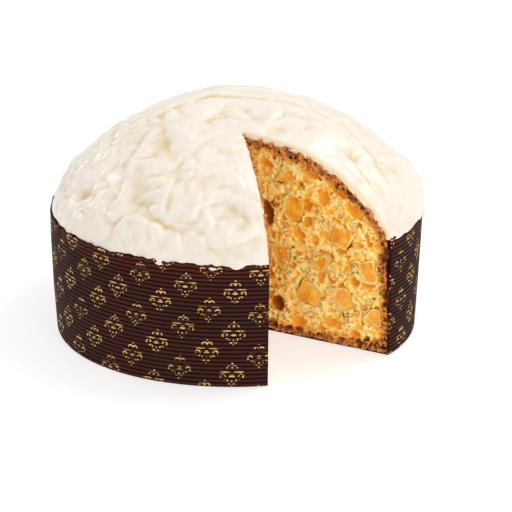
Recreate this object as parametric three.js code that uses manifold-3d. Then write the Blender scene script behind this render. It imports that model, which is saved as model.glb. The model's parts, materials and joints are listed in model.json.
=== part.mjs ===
// A low panettone in its ribbed paper case, glazed white, with one wedge cut out of it.
// The loaf, the icing, the paper and each cube of candied pear that the two cuts lay open
// are separate closed solids. Millimetres, +Z up, the origin at the middle of the foot.
// The front is -Y, and the missing wedge lies between the front and the right, +X.

import * as THREE from "three";
import { mergeVertices } from "three/addons/utils/BufferGeometryUtils.js";
import Module from "manifold-3d";

// Driving dimensions: a one kilogram low case is about 210 mm across and 70 mm high.
const rimRadius = 105;
const footRadius = 101.3;
const caseHeight = 70;
const paperThickness = 0.9;
const icingThickness = 4.5;
const gap = 0.3;

// The dome: its reach from a centre a little right of the axis, its rise, how square its
// shoulder is, how much higher its back is than its middle, and the dip in its crown.
const domeReach = 104;
const domeCentre = 1;
const domeRise = 52.4;
const shoulder = { out: 2.83, up: 0.82 };
const crownShift = new THREE.Vector2(0.8, -6.6);
const backRise = 15;
const crownDip = { depth: 4, width: 22 };

// The cut planes: both run through the tip line, which leans, and out to the rim.
const degree = Math.PI / 180;
const tipAtFoot = new THREE.Vector3(1, -9.3, 0);
const tipAtCrown = new THREE.Vector3(3.15, -20.9, 116.2);
const leftCutAngle = 10.3 * degree;
const rightCutAngle = 60.3 * degree;

// How finely the round surfaces are faceted.
const roundSteps = 64;
const outerRows = 14;
const innerRows = 10;
const cutSteps = 20;
const cutLayers = 24;

const domeFoot = caseHeight + gap;
const goldenAngle = Math.PI * (3 - Math.sqrt(5));

const wasm = await Module();
wasm.setup();

// Helpers: closed skins, cuts and smooth unevenness

// Closes a stack of rings into one solid, with a fan at each end. The rings start at the
// bottom of the axis, run outwards and up, and end at the top of the axis. The diagonals
// always rise from the narrower ring, so that two skins one above the other fit together.
function skin(bottomPoint, rings, topPoint) {
  const steps = rings[0].length;
  const width = (points) => Math.hypot(points[0].x, points[0].y);
  const positions = [bottomPoint, ...rings.flat(), topPoint].flatMap((p) => [p.x, p.y, p.z]);
  const top = rings.length * steps + 1;
  const indices = [];
  for (let i = 0; i < steps; i += 1) {
    const next = (i + 1) % steps;
    indices.push(0, 1 + next, 1 + i);
    for (let row = 0; row < rings.length - 1; row += 1) {
      const low = 1 + row * steps;
      const high = low + steps;
      const [a, b, c, d] = [low + i, low + next, high + next, high + i];
      const inwards = width(rings[row + 1]) < width(rings[row]);
      indices.push(...(inwards ? [a, b, d, b, c, d] : [a, b, c, a, c, d]));
    }
    const last = top - steps;
    indices.push(last + i, last + next, top);
  }
  const geometry = new THREE.BufferGeometry();
  geometry.setAttribute("position", new THREE.Float32BufferAttribute(positions, 3));
  geometry.setIndex(indices);
  return geometry;
}

// One ring of points, each given by a function of its angle round the axis.
function ring(pointAt) {
  return Array.from({ length: roundSteps }, (_, i) => pointAt((i / roundSteps) * 2 * Math.PI));
}

// A level ring round the axis.
function hoop(radius, height) {
  return ring((angle) => new THREE.Vector3(radius * Math.cos(angle), radius * Math.sin(angle), height));
}

function toSolid(geometry) {
  const bare = geometry.clone();
  bare.deleteAttribute("normal");
  bare.deleteAttribute("uv");
  const merged = mergeVertices(bare, 1e-4);
  return new wasm.Manifold(
    new wasm.Mesh({
      numProp: 3,
      vertProperties: new Float32Array(merged.attributes.position.array),
      triVerts: new Uint32Array(merged.index.array),
    }),
  );
}

function toGeometry(solid) {
  const mesh = solid.getMesh();
  const geometry = new THREE.BufferGeometry();
  geometry.setAttribute("position", new THREE.BufferAttribute(mesh.vertProperties, 3));
  geometry.setIndex(new THREE.BufferAttribute(mesh.triVerts, 1));
  geometry.computeVertexNormals();
  return geometry;
}

// Keeps the largest body of a solid, so that a loose scrap left by a cut is dropped.
function largestBody(solid) {
  return solid.decompose().reduce((best, body) => (body.volume() > best.volume() ? body : best));
}

// Smooth unevenness between about -1 and 1: sine waves whose directions turn by the golden
// angle, so it never repeats visibly and comes out the same every time.
function unevenness(x, y, longestWave, phase) {
  const waves = 5;
  let sum = 0;
  for (let k = 0; k < waves; k += 1) {
    const turn = k * goldenAngle + phase;
    const length = longestWave * (1 - 0.13 * k);
    const along = x * Math.cos(turn) + y * Math.sin(turn);
    sum += Math.sin((2 * Math.PI * along) / length + 2.1 * k + phase);
  }
  return (2 * sum) / waves;
}

// The dome: one lumpy surface, from which the icing and the loaf are both measured inwards

// Where the glaze lies thick over a lump of dough or sinks into a fold of it. Each row: the
// place of its middle, its half length round the dome and half width down the dome, and its rise.
const lumps = [
  [-51, -81, 12, 5.5, 2.6],
  [-77, -62, 13, 7, 1.8],
  [-81, -31, 10, 6, 2],
  [-27, -25, 16, 14, 1.8],
  [-40, -51, 10, 8, 1.8],
  [-19, -66, 14, 16, 1.8],
  [8, -80, 8, 14, 1.2],
  [-1, -96, 22, 4, 1.6],
  [2, 14, 20, 8, 1.8],
  [46, -26, 16, 10, 1.5],
  [88, -36, 10, 8, 1.6],
  [98, 8, 20, 8, 2.2],
  [-5, 38, 26, 14, 2.2],
  [60, 56, 16, 12, 2],
  [-62, 50, 20, 10, 1.8],
  [8, 86, 16, 10, 2.2],
  [-90, 16, 12, 8, 1.6],
  [-46, -74, 10, 7, -2.4],
  [-28, -88, 13, 4, -2.4],
  [-37, -37, 9, 10, -2.8],
  [-82, -40, 8, 3.5, -2.4],
  [-5, -86, 16, 7, -2],
  [-9, 4, 16, 6, -1.6],
  [24, -17, 12, 9, -1.8],
  [66, -29, 6, 6, -1.6],
  [52, 24, 10, 14, -2],
  [-72, 5, 14, 10, -1],
  [-25, 70, 12, 10, -1.8],
  [38, 82, 10, 8, -1.6],
];

function lumpRise(x, y) {
  return lumps.reduce((sum, [cx, cy, halfLength, halfWidth, rise]) => {
    const out = Math.hypot(cx, cy);
    const along = ((x - cx) * -cy + (y - cy) * cx) / out / halfLength;
    const down = ((x - cx) * cx + (y - cy) * cy) / out / halfWidth;
    return sum + rise * Math.exp(-(along ** 2) - down ** 2);
  }, 0);
}

// How far out a point lies, from 0 at the dome's centre to 1 at its rim.
function shareOut(x, y) {
  return Math.min(Math.hypot(x - domeCentre, y) / domeReach, 1);
}

// What is added to the smooth profile's height: the lean to the back and the crown's dip.
function lift(x, y) {
  const fade = 1 - shareOut(x, y) ** 4;
  const dip = crownDip.depth * Math.exp(-((Math.hypot(x - domeCentre, y) / crownDip.width) ** 2));
  return fade * ((backRise * y) / rimRadius - dip);
}

function shareOfProfile(x, y) {
  const fade = 1 - shareOut(x, y) ** 4;
  return Math.hypot(x - domeCentre - fade * crownShift.x, y - fade * crownShift.y) / domeReach;
}

function smoothHeight(x, y) {
  const share = Math.min(shareOfProfile(x, y), 1);
  return domeFoot + domeRise * (1 - share ** shoulder.out) ** shoulder.up + lift(x, y);
}

// Negative inside the smooth dome and positive outside, so that it rises along the normal.
function domeField(x, y, z) {
  const height = Math.max(z - domeFoot - lift(x, y), 0) / domeRise;
  return height ** (1 / shoulder.up) + shareOfProfile(x, y) ** shoulder.out - 1;
}

function domeNormal({ x, y, z }) {
  const h = 0.02;
  return new THREE.Vector3(
    domeField(x + h, y, z) - domeField(x - h, y, z),
    domeField(x, y + h, z) - domeField(x, y - h, z),
    domeField(x, y, z + h) - domeField(x, y, z - h),
  ).normalize();
}

// The point at a depth under the lumpy dome, below or above a place of its smooth profile.
// The lumps fade out at the rim, where the icing meets the paper.
function domePoint(radius, angle, depth) {
  const x = domeCentre + radius * Math.cos(angle);
  const y = radius * Math.sin(angle);
  const foot = new THREE.Vector3(x, y, smoothHeight(x, y));
  const swell = lumpRise(x, y) * (1 - shareOut(x, y) ** 16);
  return foot.addScaledVector(domeNormal(foot), swell - depth);
}

// Rings from near the crown out to the rim, closer together where the dome turns down.
function domeRings(rows, depth) {
  return Array.from({ length: rows }, (_, row) => {
    const radius = domeReach * (1 - (1 - (row + 1) / rows) ** 1.5);
    return ring((angle) => domePoint(radius, angle, depth));
  });
}

// The wedge that the knife took out

function tipAt(height) {
  return tipAtFoot.clone().lerp(tipAtCrown, height / tipAtCrown.z);
}

const leftCut = {
  along: new THREE.Vector3(Math.sin(leftCutAngle), -Math.cos(leftCutAngle), 0),
  side: -1,
};
const rightCut = {
  along: new THREE.Vector3(Math.sin(rightCutAngle), -Math.cos(rightCutAngle), 0),
  side: 1,
};

// The level direction out of the bread and into the gap, at right angles to a cut.
function intoGap(cut) {
  return new THREE.Vector3(cut.along.y, -cut.along.x, 0).multiplyScalar(cut.side);
}

// A point of a cut, at a distance from the tip line and a height, and a depth in the bread.
function cutPoint(cut, distance, height, depth) {
  return tipAt(height)
    .addScaledVector(cut.along, distance)
    .addScaledVector(intoGap(cut), -depth)
    .setZ(height);
}

// Turns a shape drawn upright in the XY plane to lie along a cut, with its middle at a point.
function placeOnCut(geometry, cut, middle) {
  const up = new THREE.Vector3(0, 0, 1);
  geometry.applyMatrix4(new THREE.Matrix4().makeBasis(cut.along, up, cut.along.clone().cross(up)));
  return geometry.translate(middle.x, middle.y, middle.z);
}

// The wedge as level slices. Its sides are flat, or with roughness torn like bread, which
// stands back from the knife's plane everywhere but at the tip.
function wedge(roughness) {
  const reach = 1.5 * rimRadius;
  const bottom = -6;
  const top = domeFoot + domeRise + 20;
  const steps = roughness > 0 ? cutSteps : 1;
  const layers = roughness > 0 ? cutLayers : 1;
  const slices = [];
  for (let layer = 0; layer <= layers; layer += 1) {
    const height = bottom + ((top - bottom) * layer) / layers;
    const side = (cut, phase) =>
      Array.from({ length: steps }, (_, i) => {
        const distance = (reach * (i + 1)) / steps;
        const coarse = 0.6 * unevenness(distance, height, 23, phase);
        const fine = 0.45 * unevenness(distance, height, 11, 2 * phase);
        const fade = Math.min(distance / 12, 1);
        return cutPoint(cut, distance, height, roughness * fade * (0.75 + coarse + fine));
      });
    slices.push([tipAt(height), ...side(leftCut, 0.7), ...side(rightCut, 2.6).reverse()]);
  }
  const middle = (slice) => new THREE.Vector3()
    .addVectors(slice[steps], slice[steps + 1])
    .multiplyScalar(0.35)
    .addScaledVector(slice[0], 0.3);
  return toSolid(skin(middle(slices[0]), slices, middle(slices[layers])));
}

const flatWedge = wedge(0);
const tornWedge = wedge(1);

// The paper case: a tapered band and a floor

function paperCase() {
  const inRim = rimRadius - paperThickness;
  const inFoot = footRadius - paperThickness;
  const cup = skin(
    new THREE.Vector3(0, 0, 0),
    [
      hoop(footRadius, 0),
      hoop(rimRadius, caseHeight),
      hoop(inRim, caseHeight),
      hoop(inFoot, paperThickness),
    ],
    new THREE.Vector3(0, 0, paperThickness),
  );
  return toSolid(cup).subtract(flatWedge);
}

// The icing: a lumpy skin poured over the dome, ending on the rim of the paper

function icing() {
  const shell = skin(
    domePoint(0, 0, icingThickness),
    [...domeRings(innerRows, icingThickness), ...domeRings(outerRows, 0).reverse()],
    domePoint(0, 0, 0),
  );
  return toSolid(shell).subtract(flatWedge);
}

// Candied pear: cubes with blunt corners, cut through by the knife or lying just behind it

// Each row: distance from the tip, height, width, height of the cube, turn in degrees, and
// how far its middle lies behind the cut.
const pearInLeftCut = [
  [17.5, 89, 11, 16, 8, 3.2],
  [31.5, 77, 13.5, 11.5, -24, 4.6],
  [40, 62.5, 14, 8, -12, 5],
  [65, 60.5, 13, 14, 6, 3.4],
  [68.5, 44, 13, 12.5, -33, 5.2],
  [46, 38.5, 14, 12.5, 18, 6],
  [26, 27, 14, 20, 24, 4.2],
  [67.5, 22, 15.5, 13, 5, 5.8],
  [13, 48, 15, 12, -38, 3],
];
const pearInRightCut = [
  [26, 95.5, 16, 11.5, 4, 6],
  [33.5, 77, 12, 15.5, -8, 4.6],
  [27, 47, 12, 16, 12, 5.4],
  [62, 65, 14.5, 12, -28, 3.4],
  [80, 47.5, 12.5, 13.5, 15, 4.8],
  [51, 49, 13.5, 11.5, 38, 5.8],
  [43.5, 27, 14.5, 13, -14, 3.2],
  [65.5, 28.5, 13, 14.5, 26, 5.4],
  [84, 20, 12, 10.5, -6, 4.4],
  [11.5, 26.5, 12.5, 11, 30, 3.6],
];

// A blunt cube, grown by a margin on each side, and uneven by its number in the row.
function pearCube(cut, [distance, height, width, tall, turn, depth], number, margin) {
  const thick = 0.8 * Math.min(width, tall) + 2;
  const box = new THREE.BoxGeometry(1, 1, 1, 2, 2, 2);
  const points = box.attributes.position;
  const half = new THREE.Vector3(width, tall, thick).multiplyScalar(0.5).addScalar(margin);
  for (let i = 0; i < points.count; i += 1) {
    const p = new THREE.Vector3().fromBufferAttribute(points, i).multiplyScalar(2);
    const blunt = 1 / (Math.abs(p.x) ** 7 + Math.abs(p.y) ** 7 + Math.abs(p.z) ** 7) ** (1 / 7);
    const swell = 1 + 0.07 * Math.sin(3.1 * p.x + number) * Math.cos(2.3 * p.y - 2 * number + p.z);
    p.multiplyScalar(blunt * swell).multiply(half);
    points.setXYZ(i, p.x, p.y, p.z);
  }
  const roll = 0.35 * Math.sin(2.4 * number);
  const yaw = 0.4 * Math.cos(1.7 * number);
  box.applyMatrix4(new THREE.Matrix4().makeRotationFromEuler(new THREE.Euler(roll, yaw, turn * degree)));
  return toSolid(placeOnCut(box, cut, cutPoint(cut, distance, height, depth)));
}

const pearCubes = [];
for (const [side, cut, rows] of [["left", leftCut, pearInLeftCut], ["right", rightCut, pearInRightCut]]) {
  rows.forEach((row, i) => {
    const name = `pear_${side}_${String(i + 1).padStart(2, "0")}`;
    const number = i + (side === "left" ? 0 : 20);
    pearCubes.push({
      name,
      solid: pearCube(cut, row, number, 0).subtract(flatWedge),
      pocket: pearCube(cut, row, number, gap + 0.2),
    });
  });
}

// The loaf: the baked dough, with large holes, pockets round the pear, and torn cut faces

// Each row: distance from the tip, height, width, height and depth of an oval hole, and its
// turn in degrees.
const holesInLeftCut = [
  [30.5, 92, 8.5, 7.5, 6, -30],
  [58, 81, 7, 13, 5, 38],
  [57, 58.5, 5.5, 8.5, 7, 8],
  [73.5, 66, 6.5, 7, 5, 0],
  [83.5, 28, 5, 12, 4, 4],
  [12, 18.5, 6.5, 7, 4, 0],
  [47, 12.5, 8, 7.5, 4, 0],
  [37.5, 8.5, 9.5, 6, 4, 0],
  [57.5, 8, 8, 4.5, 4, -6],
  [43, 94.5, 10, 4.5, 4, -24],
  [18.5, 99.5, 7, 4, 3, 10],
  [54, 27.5, 5, 6, 5, 20],
  [24, 60, 7.5, 7, 3, 0],
  [80, 10, 5, 4, 4, 0],
  [78, 79, 8, 4, 3, -48],
];
const holesInRightCut = [
  [51.5, 86, 6.5, 9, 5, -14],
  [41, 80, 6, 7.5, 5, 8],
  [14.5, 101, 6.5, 4.5, 4, 0],
  [17, 71.5, 7.5, 14, 8, 6],
  [42.5, 99, 10, 4.5, 4, -16],
  [25, 17.5, 8, 9, 8, -20],
  [19, 36, 4.5, 9, 6, 4],
  [70, 82, 6, 10, 5, 40],
  [89, 60, 5, 9, 4, 8],
  [58, 12, 9, 5.5, 4, 4],
  [38, 9, 8, 5.5, 4, 0],
  [74, 8.5, 6, 4, 4, 0],
  [91.5, 34, 4.5, 10, 4, 2],
  [37, 62.5, 7, 5.5, 4, -20],
  [72, 39.5, 5, 5.5, 5, 0],
  [61, 91, 9, 4, 4, -34],
];

function ovalHole(cut, [distance, height, width, tall, depth, turn]) {
  const oval = new THREE.IcosahedronGeometry(1, 1);
  oval.scale(width / 2, tall / 2, depth);
  oval.rotateZ(turn * degree);
  return toSolid(placeOnCut(oval, cut, cutPoint(cut, distance, height, 0.2 * depth)));
}

function loaf() {
  const floor = paperThickness + gap;
  const inRim = rimRadius - paperThickness - gap;
  const inFoot = footRadius - paperThickness - gap;
  const wallRadius = (height) => inFoot + ((inRim - inFoot) * height) / caseHeight;
  const sink = (point) => point.setZ(point.z - gap);
  const dome = domeRings(innerRows, icingThickness + gap).reverse();
  dome.flat().forEach(sink);
  const body = skin(
    new THREE.Vector3(0, 0, floor),
    [
      hoop(inFoot - 3, floor),
      hoop(wallRadius(floor + 3), floor + 3),
      hoop(wallRadius(caseHeight), caseHeight),
      ...dome,
    ],
    sink(domePoint(0, 0, icingThickness + gap)),
  );
  const hollows = [
    ...holesInLeftCut.map((row) => ovalHole(leftCut, row)),
    ...holesInRightCut.map((row) => ovalHole(rightCut, row)),
    ...pearCubes.map((cube) => cube.pocket),
  ];
  return largestBody(hollows.reduce((dough, hollow) => dough.subtract(hollow), toSolid(body).subtract(tornWedge)));
}

// Materials and the finished group

function finish(color, roughness) {
  return new THREE.MeshStandardMaterial({ color, roughness, metalness: 0 });
}

const paperBrown = finish("#43281f", 0.6);
const icingWhite = finish("#f8f1e4", 0.35);
const crumbYellow = finish("#eebc5d", 0.85);
const pearAmber = finish("#d98e1c", 0.25);

const panettone = new THREE.Group();

function addPiece(name, solid, material) {
  const piece = new THREE.Mesh(toGeometry(solid), material);
  piece.name = name;
  panettone.add(piece);
}

addPiece("paper_case", paperCase(), paperBrown);
addPiece("loaf", loaf(), crumbYellow);
addPiece("icing", icing(), icingWhite);
for (const cube of pearCubes) {
  addPiece(cube.name, cube.solid, pearAmber);
}

export default panettone;
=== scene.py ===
# %% [markdown]
# # A cut panettone
# A low panettone stands in its ribbed paper case, under a thick white glaze, with one wedge
# cut out of it. This lesson dresses the plain solids of the loaf with what the eye looks for:
# folds in the glaze, pores in the crumb, glassy cubes of candied pear and ribs in the paper.
# We start by loading the solids.

# %% Load the solids
import json
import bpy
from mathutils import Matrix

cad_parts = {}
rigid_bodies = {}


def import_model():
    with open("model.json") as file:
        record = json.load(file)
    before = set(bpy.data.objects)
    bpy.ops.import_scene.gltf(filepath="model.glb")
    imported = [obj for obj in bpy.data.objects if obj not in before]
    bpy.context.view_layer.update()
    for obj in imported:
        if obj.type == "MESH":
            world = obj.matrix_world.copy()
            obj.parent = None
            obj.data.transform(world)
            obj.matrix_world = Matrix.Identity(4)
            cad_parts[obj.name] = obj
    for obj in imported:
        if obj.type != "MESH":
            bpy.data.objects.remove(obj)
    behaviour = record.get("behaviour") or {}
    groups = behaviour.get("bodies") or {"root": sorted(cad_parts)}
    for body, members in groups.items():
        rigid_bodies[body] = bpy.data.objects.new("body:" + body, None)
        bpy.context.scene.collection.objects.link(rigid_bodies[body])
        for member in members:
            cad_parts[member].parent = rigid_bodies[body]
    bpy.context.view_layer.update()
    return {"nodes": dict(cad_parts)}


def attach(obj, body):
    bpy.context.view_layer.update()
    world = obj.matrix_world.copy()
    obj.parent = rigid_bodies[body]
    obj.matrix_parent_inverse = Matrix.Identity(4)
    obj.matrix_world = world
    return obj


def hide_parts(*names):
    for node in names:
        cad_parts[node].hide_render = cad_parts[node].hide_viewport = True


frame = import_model()
print("solids:", sorted(frame["nodes"]))

# %% [markdown]
# ## Sizes
# All shapes are worked out in millimetres, round an axis that stands in the middle of the
# case's foot, and are turned into metres when a mesh is made. The two cut planes meet in a
# tip line that leans a little, as a knife does, so each plane is kept as that line and a
# level direction along the cut.

# %% Sizes of the case, the dome and the cut
import bpy
import numpy as np
from mathutils import Vector

MM = 0.001
RIM_RADIUS = 105.0
FOOT_RADIUS = 101.3
CASE_HEIGHT = 70.0
ICING_THICKNESS = 4.4
DOME_REACH = 104.0
DOME_CENTRE = 1.0
DOME_FOOT = 70.3
DOME_RISE = 52.4
SHOULDER_OUT, SHOULDER_UP = 2.83, 0.82
CROWN_SHIFT = (0.8, -6.6)
BACK_RISE = 15.0
CROWN_DIP, CROWN_DIP_WIDTH = 4.0, 22.0

TIP_FOOT = np.array([1.0, -9.3, 0.0])
TIP_CROWN = np.array([3.15, -20.9, 116.2])
LEFT_ANGLE, RIGHT_ANGLE = np.radians(10.3), np.radians(60.3)


def direction(angle):
    """A level direction, by its angle from the front (-Y) towards the right (+X)."""
    return np.stack([np.sin(angle), -np.cos(angle), np.zeros_like(angle)], -1)


class CutPlane:
    """One side of the missing wedge: u runs along the cut, v up it and w into the bread."""

    def __init__(self, angle, side):
        tip = TIP_CROWN - TIP_FOOT
        self.u = direction(np.asarray(angle))
        self.v = tip - (tip @ self.u) * self.u
        self.v /= np.linalg.norm(self.v)
        self.w = side * np.cross(self.u, self.v)

    def to_world(self, u, v, w):
        return TIP_FOOT + u[..., None] * self.u + v[..., None] * self.v + w[..., None] * self.w

    def depth(self, points):
        """How far inside the bread points lie, behind the plane."""
        return (points - TIP_FOOT) @ self.w


LEFT_CUT = CutPlane(LEFT_ANGLE, 1)
RIGHT_CUT = CutPlane(RIGHT_ANGLE, -1)
print("into the bread:", LEFT_CUT.w.round(3), RIGHT_CUT.w.round(3))

# %% [markdown]
# ## Making meshes
# Every piece is a mesh made straight from arrays, which is quick even for a hundred thousand
# faces; bmesh would take minutes for the crumb alone. Values that a material needs, such as
# how deep a point lies in a pore, go along as attributes of the mesh.

# %% A mesh from arrays
def make_piece(name, points, faces, replaces=(), attributes=None):
    """A smooth mesh from points in millimetres and faces as arrays of equal length or a list."""
    groups = [np.asarray(f) for f in (faces if isinstance(faces, list) else [faces])]
    mesh = bpy.data.meshes.new(name)
    mesh.vertices.add(len(points))
    mesh.vertices.foreach_set("co", (np.asarray(points, np.float32) * MM).ravel())
    sizes = np.concatenate([np.full(len(g), g.shape[1]) for g in groups])
    mesh.loops.add(int(sizes.sum()))
    mesh.loops.foreach_set("vertex_index", np.concatenate([g.ravel() for g in groups]).astype(np.int32))
    mesh.polygons.add(len(sizes))
    mesh.polygons.foreach_set("loop_start", (np.cumsum(sizes) - sizes).astype(np.int32))
    mesh.polygons.foreach_set("use_smooth", np.ones(len(sizes), bool))
    for key, values in (attributes or {}).items():
        layer = mesh.attributes.new(key, "FLOAT", "POINT")
        layer.data.foreach_set("value", np.asarray(values, np.float32).ravel())
    mesh.update(calc_edges=True)
    mesh.validate()
    piece = bpy.data.objects.new(name, mesh)
    bpy.context.scene.collection.objects.link(piece)
    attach(piece, "root")
    if replaces:
        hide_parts(*replaces)
    print(f"{name}: {len(points)} points, {int((sizes - 2).sum())} triangles")
    return piece


# %% [markdown]
# ## Unevenness
# Food is never even. Blender's noise textures could push the points about, but a modifier
# can't tell the crumb's foam what to do. So smooth noise is worked out here, in two kinds:
# one at scattered points, and one that fills a whole box of small cells at once. Every
# noise has its own seed, so the loaf is the same each time.

# %% Smooth noise
def ease(t):
    """A smooth step from 0 to 1."""
    t = np.clip(t, 0, 1)
    return t * t * (3 - 2 * t)


def noise(points, scale, seed):
    """Smooth noise between -1 and 1 at scattered points; scale is the size of a lump."""
    lattice = np.random.default_rng(seed).uniform(-1, 1, (24, 24, 24))
    p = points / np.asarray(scale, float)
    cell = np.floor(p).astype(int)
    t = ease(p - cell)
    total = np.zeros(p.shape[:-1])
    for corner in np.ndindex(2, 2, 2):
        weight = np.prod(np.where(np.array(corner) == 1, t, 1 - t), axis=-1)
        i, j, k = np.moveaxis((cell + corner) % 24, -1, 0)
        total += weight * lattice[i, j, k]
    return total


def box_noise(shape, step, scale, seed):
    """The same noise in every cell of a box, blended along one axis after another."""
    scale = np.broadcast_to(np.asarray(scale, float), 3)
    counts = [int(n * step / s) + 3 for n, s in zip(shape, scale)]
    values = np.random.default_rng(seed).uniform(-1, 1, counts).astype(np.float32)
    for axis, n in enumerate(shape):
        p = np.arange(n) * step / scale[axis]
        low = p.astype(int)
        t = ease(p - low).astype(np.float32).reshape([-1 if a == axis else 1 for a in range(3)])
        values = np.take(values, low, axis) * (1 - t) + np.take(values, low + 1, axis) * t
    return values


print("noise at a point:", noise(np.array([[10.0, 20, 30]]), 7, 1).round(3))

# %% [markdown]
# ## The dome
# Icing and loaf share one surface. Its smooth form is a rounded profile that is flat on top
# and steep at the rim, leans up towards the back and dips in the crown. A field that is zero
# on that surface gives its normal, and the lumps and everything that lies under them are
# measured along the normal, so the glaze is equally thick on the top and on the side.

# %% The smooth dome and its normal
def share_out(x, y):
    return np.minimum(np.hypot(x - DOME_CENTRE, y) / DOME_REACH, 1)


def dome_lift(x, y):
    dip = CROWN_DIP * np.exp(-((np.hypot(x - DOME_CENTRE, y) / CROWN_DIP_WIDTH) ** 2))
    return (1 - share_out(x, y) ** 4) * (BACK_RISE * y / RIM_RADIUS - dip)


def profile_share(x, y):
    fade = 1 - share_out(x, y) ** 4
    return np.hypot(x - DOME_CENTRE - fade * CROWN_SHIFT[0], y - fade * CROWN_SHIFT[1]) / DOME_REACH


def smooth_height(x, y):
    share = np.minimum(profile_share(x, y), 1)
    return DOME_FOOT + DOME_RISE * (1 - share**SHOULDER_OUT) ** SHOULDER_UP + dome_lift(x, y)


def dome_field(points):
    x, y, z = np.moveaxis(points, -1, 0)
    height = np.maximum(z - DOME_FOOT - dome_lift(x, y), 0) / DOME_RISE
    return height ** (1 / SHOULDER_UP) + profile_share(x, y) ** SHOULDER_OUT - 1


def dome_gradient(points):
    h = 0.02
    return np.stack(
        [(dome_field(points + h * e) - dome_field(points - h * e)) / (2 * h) for e in np.eye(3)], -1
    )


print("height over the middle:", smooth_height(np.zeros(1), np.zeros(1)).round(1))

# %% [markdown]
# ## Lumps in the dough and the glaze
# The dough under the glaze has risen unevenly, and the glaze lies thick on its lumps. They
# could be sculpted, but a table of soft swellings is easier to correct against a picture, and
# the solid loaf has the same ones. Each is longer round the dome than down it.

# %% Lumps
# x, y, half length round the dome, half width down it, rise
LUMPS = [
    (-51, -81, 12, 5.5, 2.6), (-77, -62, 13, 7, 1.8), (-81, -31, 10, 6, 2.0),
    (-27, -25, 16, 14, 1.8), (-40, -51, 10, 8, 1.8), (-19, -66, 14, 16, 1.8),
    (8, -80, 8, 14, 1.2), (-1, -96, 22, 4, 1.6), (2, 14, 20, 8, 1.8),
    (46, -26, 16, 10, 1.5), (88, -36, 10, 8, 1.6), (98, 8, 20, 8, 2.2),
    (-5, 38, 26, 14, 2.2), (60, 56, 16, 12, 2.0), (-62, 50, 20, 10, 1.8),
    (8, 86, 16, 10, 2.2), (-90, 16, 12, 8, 1.6), (-46, -74, 10, 7, -2.4),
    (-28, -88, 13, 4, -2.4), (-37, -37, 9, 10, -2.8), (-82, -40, 8, 3.5, -2.4),
    (-5, -86, 16, 7, -2.0), (-9, 4, 16, 6, -1.6), (24, -17, 12, 9, -1.8),
    (66, -29, 6, 6, -1.6), (52, 24, 10, 14, -2.0), (-72, 5, 14, 10, -1.0),
    (-25, 70, 12, 10, -1.8), (38, 82, 10, 8, -1.6),
]

# Smaller ones, in the glaze alone
SMALL_LUMPS = [
    (-81, -32, 8, 5, 1.7), (-72, -53, 8, 7, 1.7), (-83, -38, 6, 4, -0.5), (-72, -68, 7, 5, 1.3),
    (-79, -57, 6, 5, 1.2), (-91, -40, 6, 4, 1.0), (-52, -70, 9, 6, -1.8), (-40, -70, 9, 10, 2.2),
    (-37, -34, 6, 6, -0.4), (-44, -46, 8, 6, 1.4), (-29, -30, 9, 8, 1.6), (-5, -47, 4, 3, -1.2),
    (-3, -85, 9, 5, -1.9), (-22, -88, 8, 3, -1.7), (23, -16, 6, 6, -1.2), (45, -35, 5, 3, -1.0),
    (70, -28, 8, 4, 2.0), (64, -33, 4, 3, -1.5), (92, -5, 9, 5, 1.4), (88, -20, 5, 5, -1.2),
    (-64, 8, 9, 4, 1.2), (-74, -12, 9, 4, 1.3), (-58, 36, 24, 13, -3.4), (20, 34, 12, 7, 1.5),
    (-20, 88, 10, 5, 1.6), (70, 70, 9, 6, 1.6), (-38, 60, 20, 12, -2.8), (40, 60, 14, 12, -2.2),
    (96, -4, 36, 12, 4.6),
]


def lump_rise(x, y, lumps):
    total = np.zeros_like(x)
    for cx, cy, half_length, half_width, rise in lumps:
        out = np.hypot(cx, cy)
        along = ((x - cx) * -cy + (y - cy) * cx) / out / half_length
        down = ((x - cx) * cx + (y - cy) * cy) / out / half_width
        total += rise * np.exp(-(along**2) - down**2)
    return total


print(len(LUMPS), "lumps in the dough,", len(SMALL_LUMPS), "in the glaze alone")

# %% [markdown]
# ## Folds
# Between the lumps the glaze has run together in folds. Each is a line with a raised bank on
# one side and a shallow groove before it, like one flow of glaze that has stopped against
# another. Waves of noise alone would have no such direction.

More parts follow.
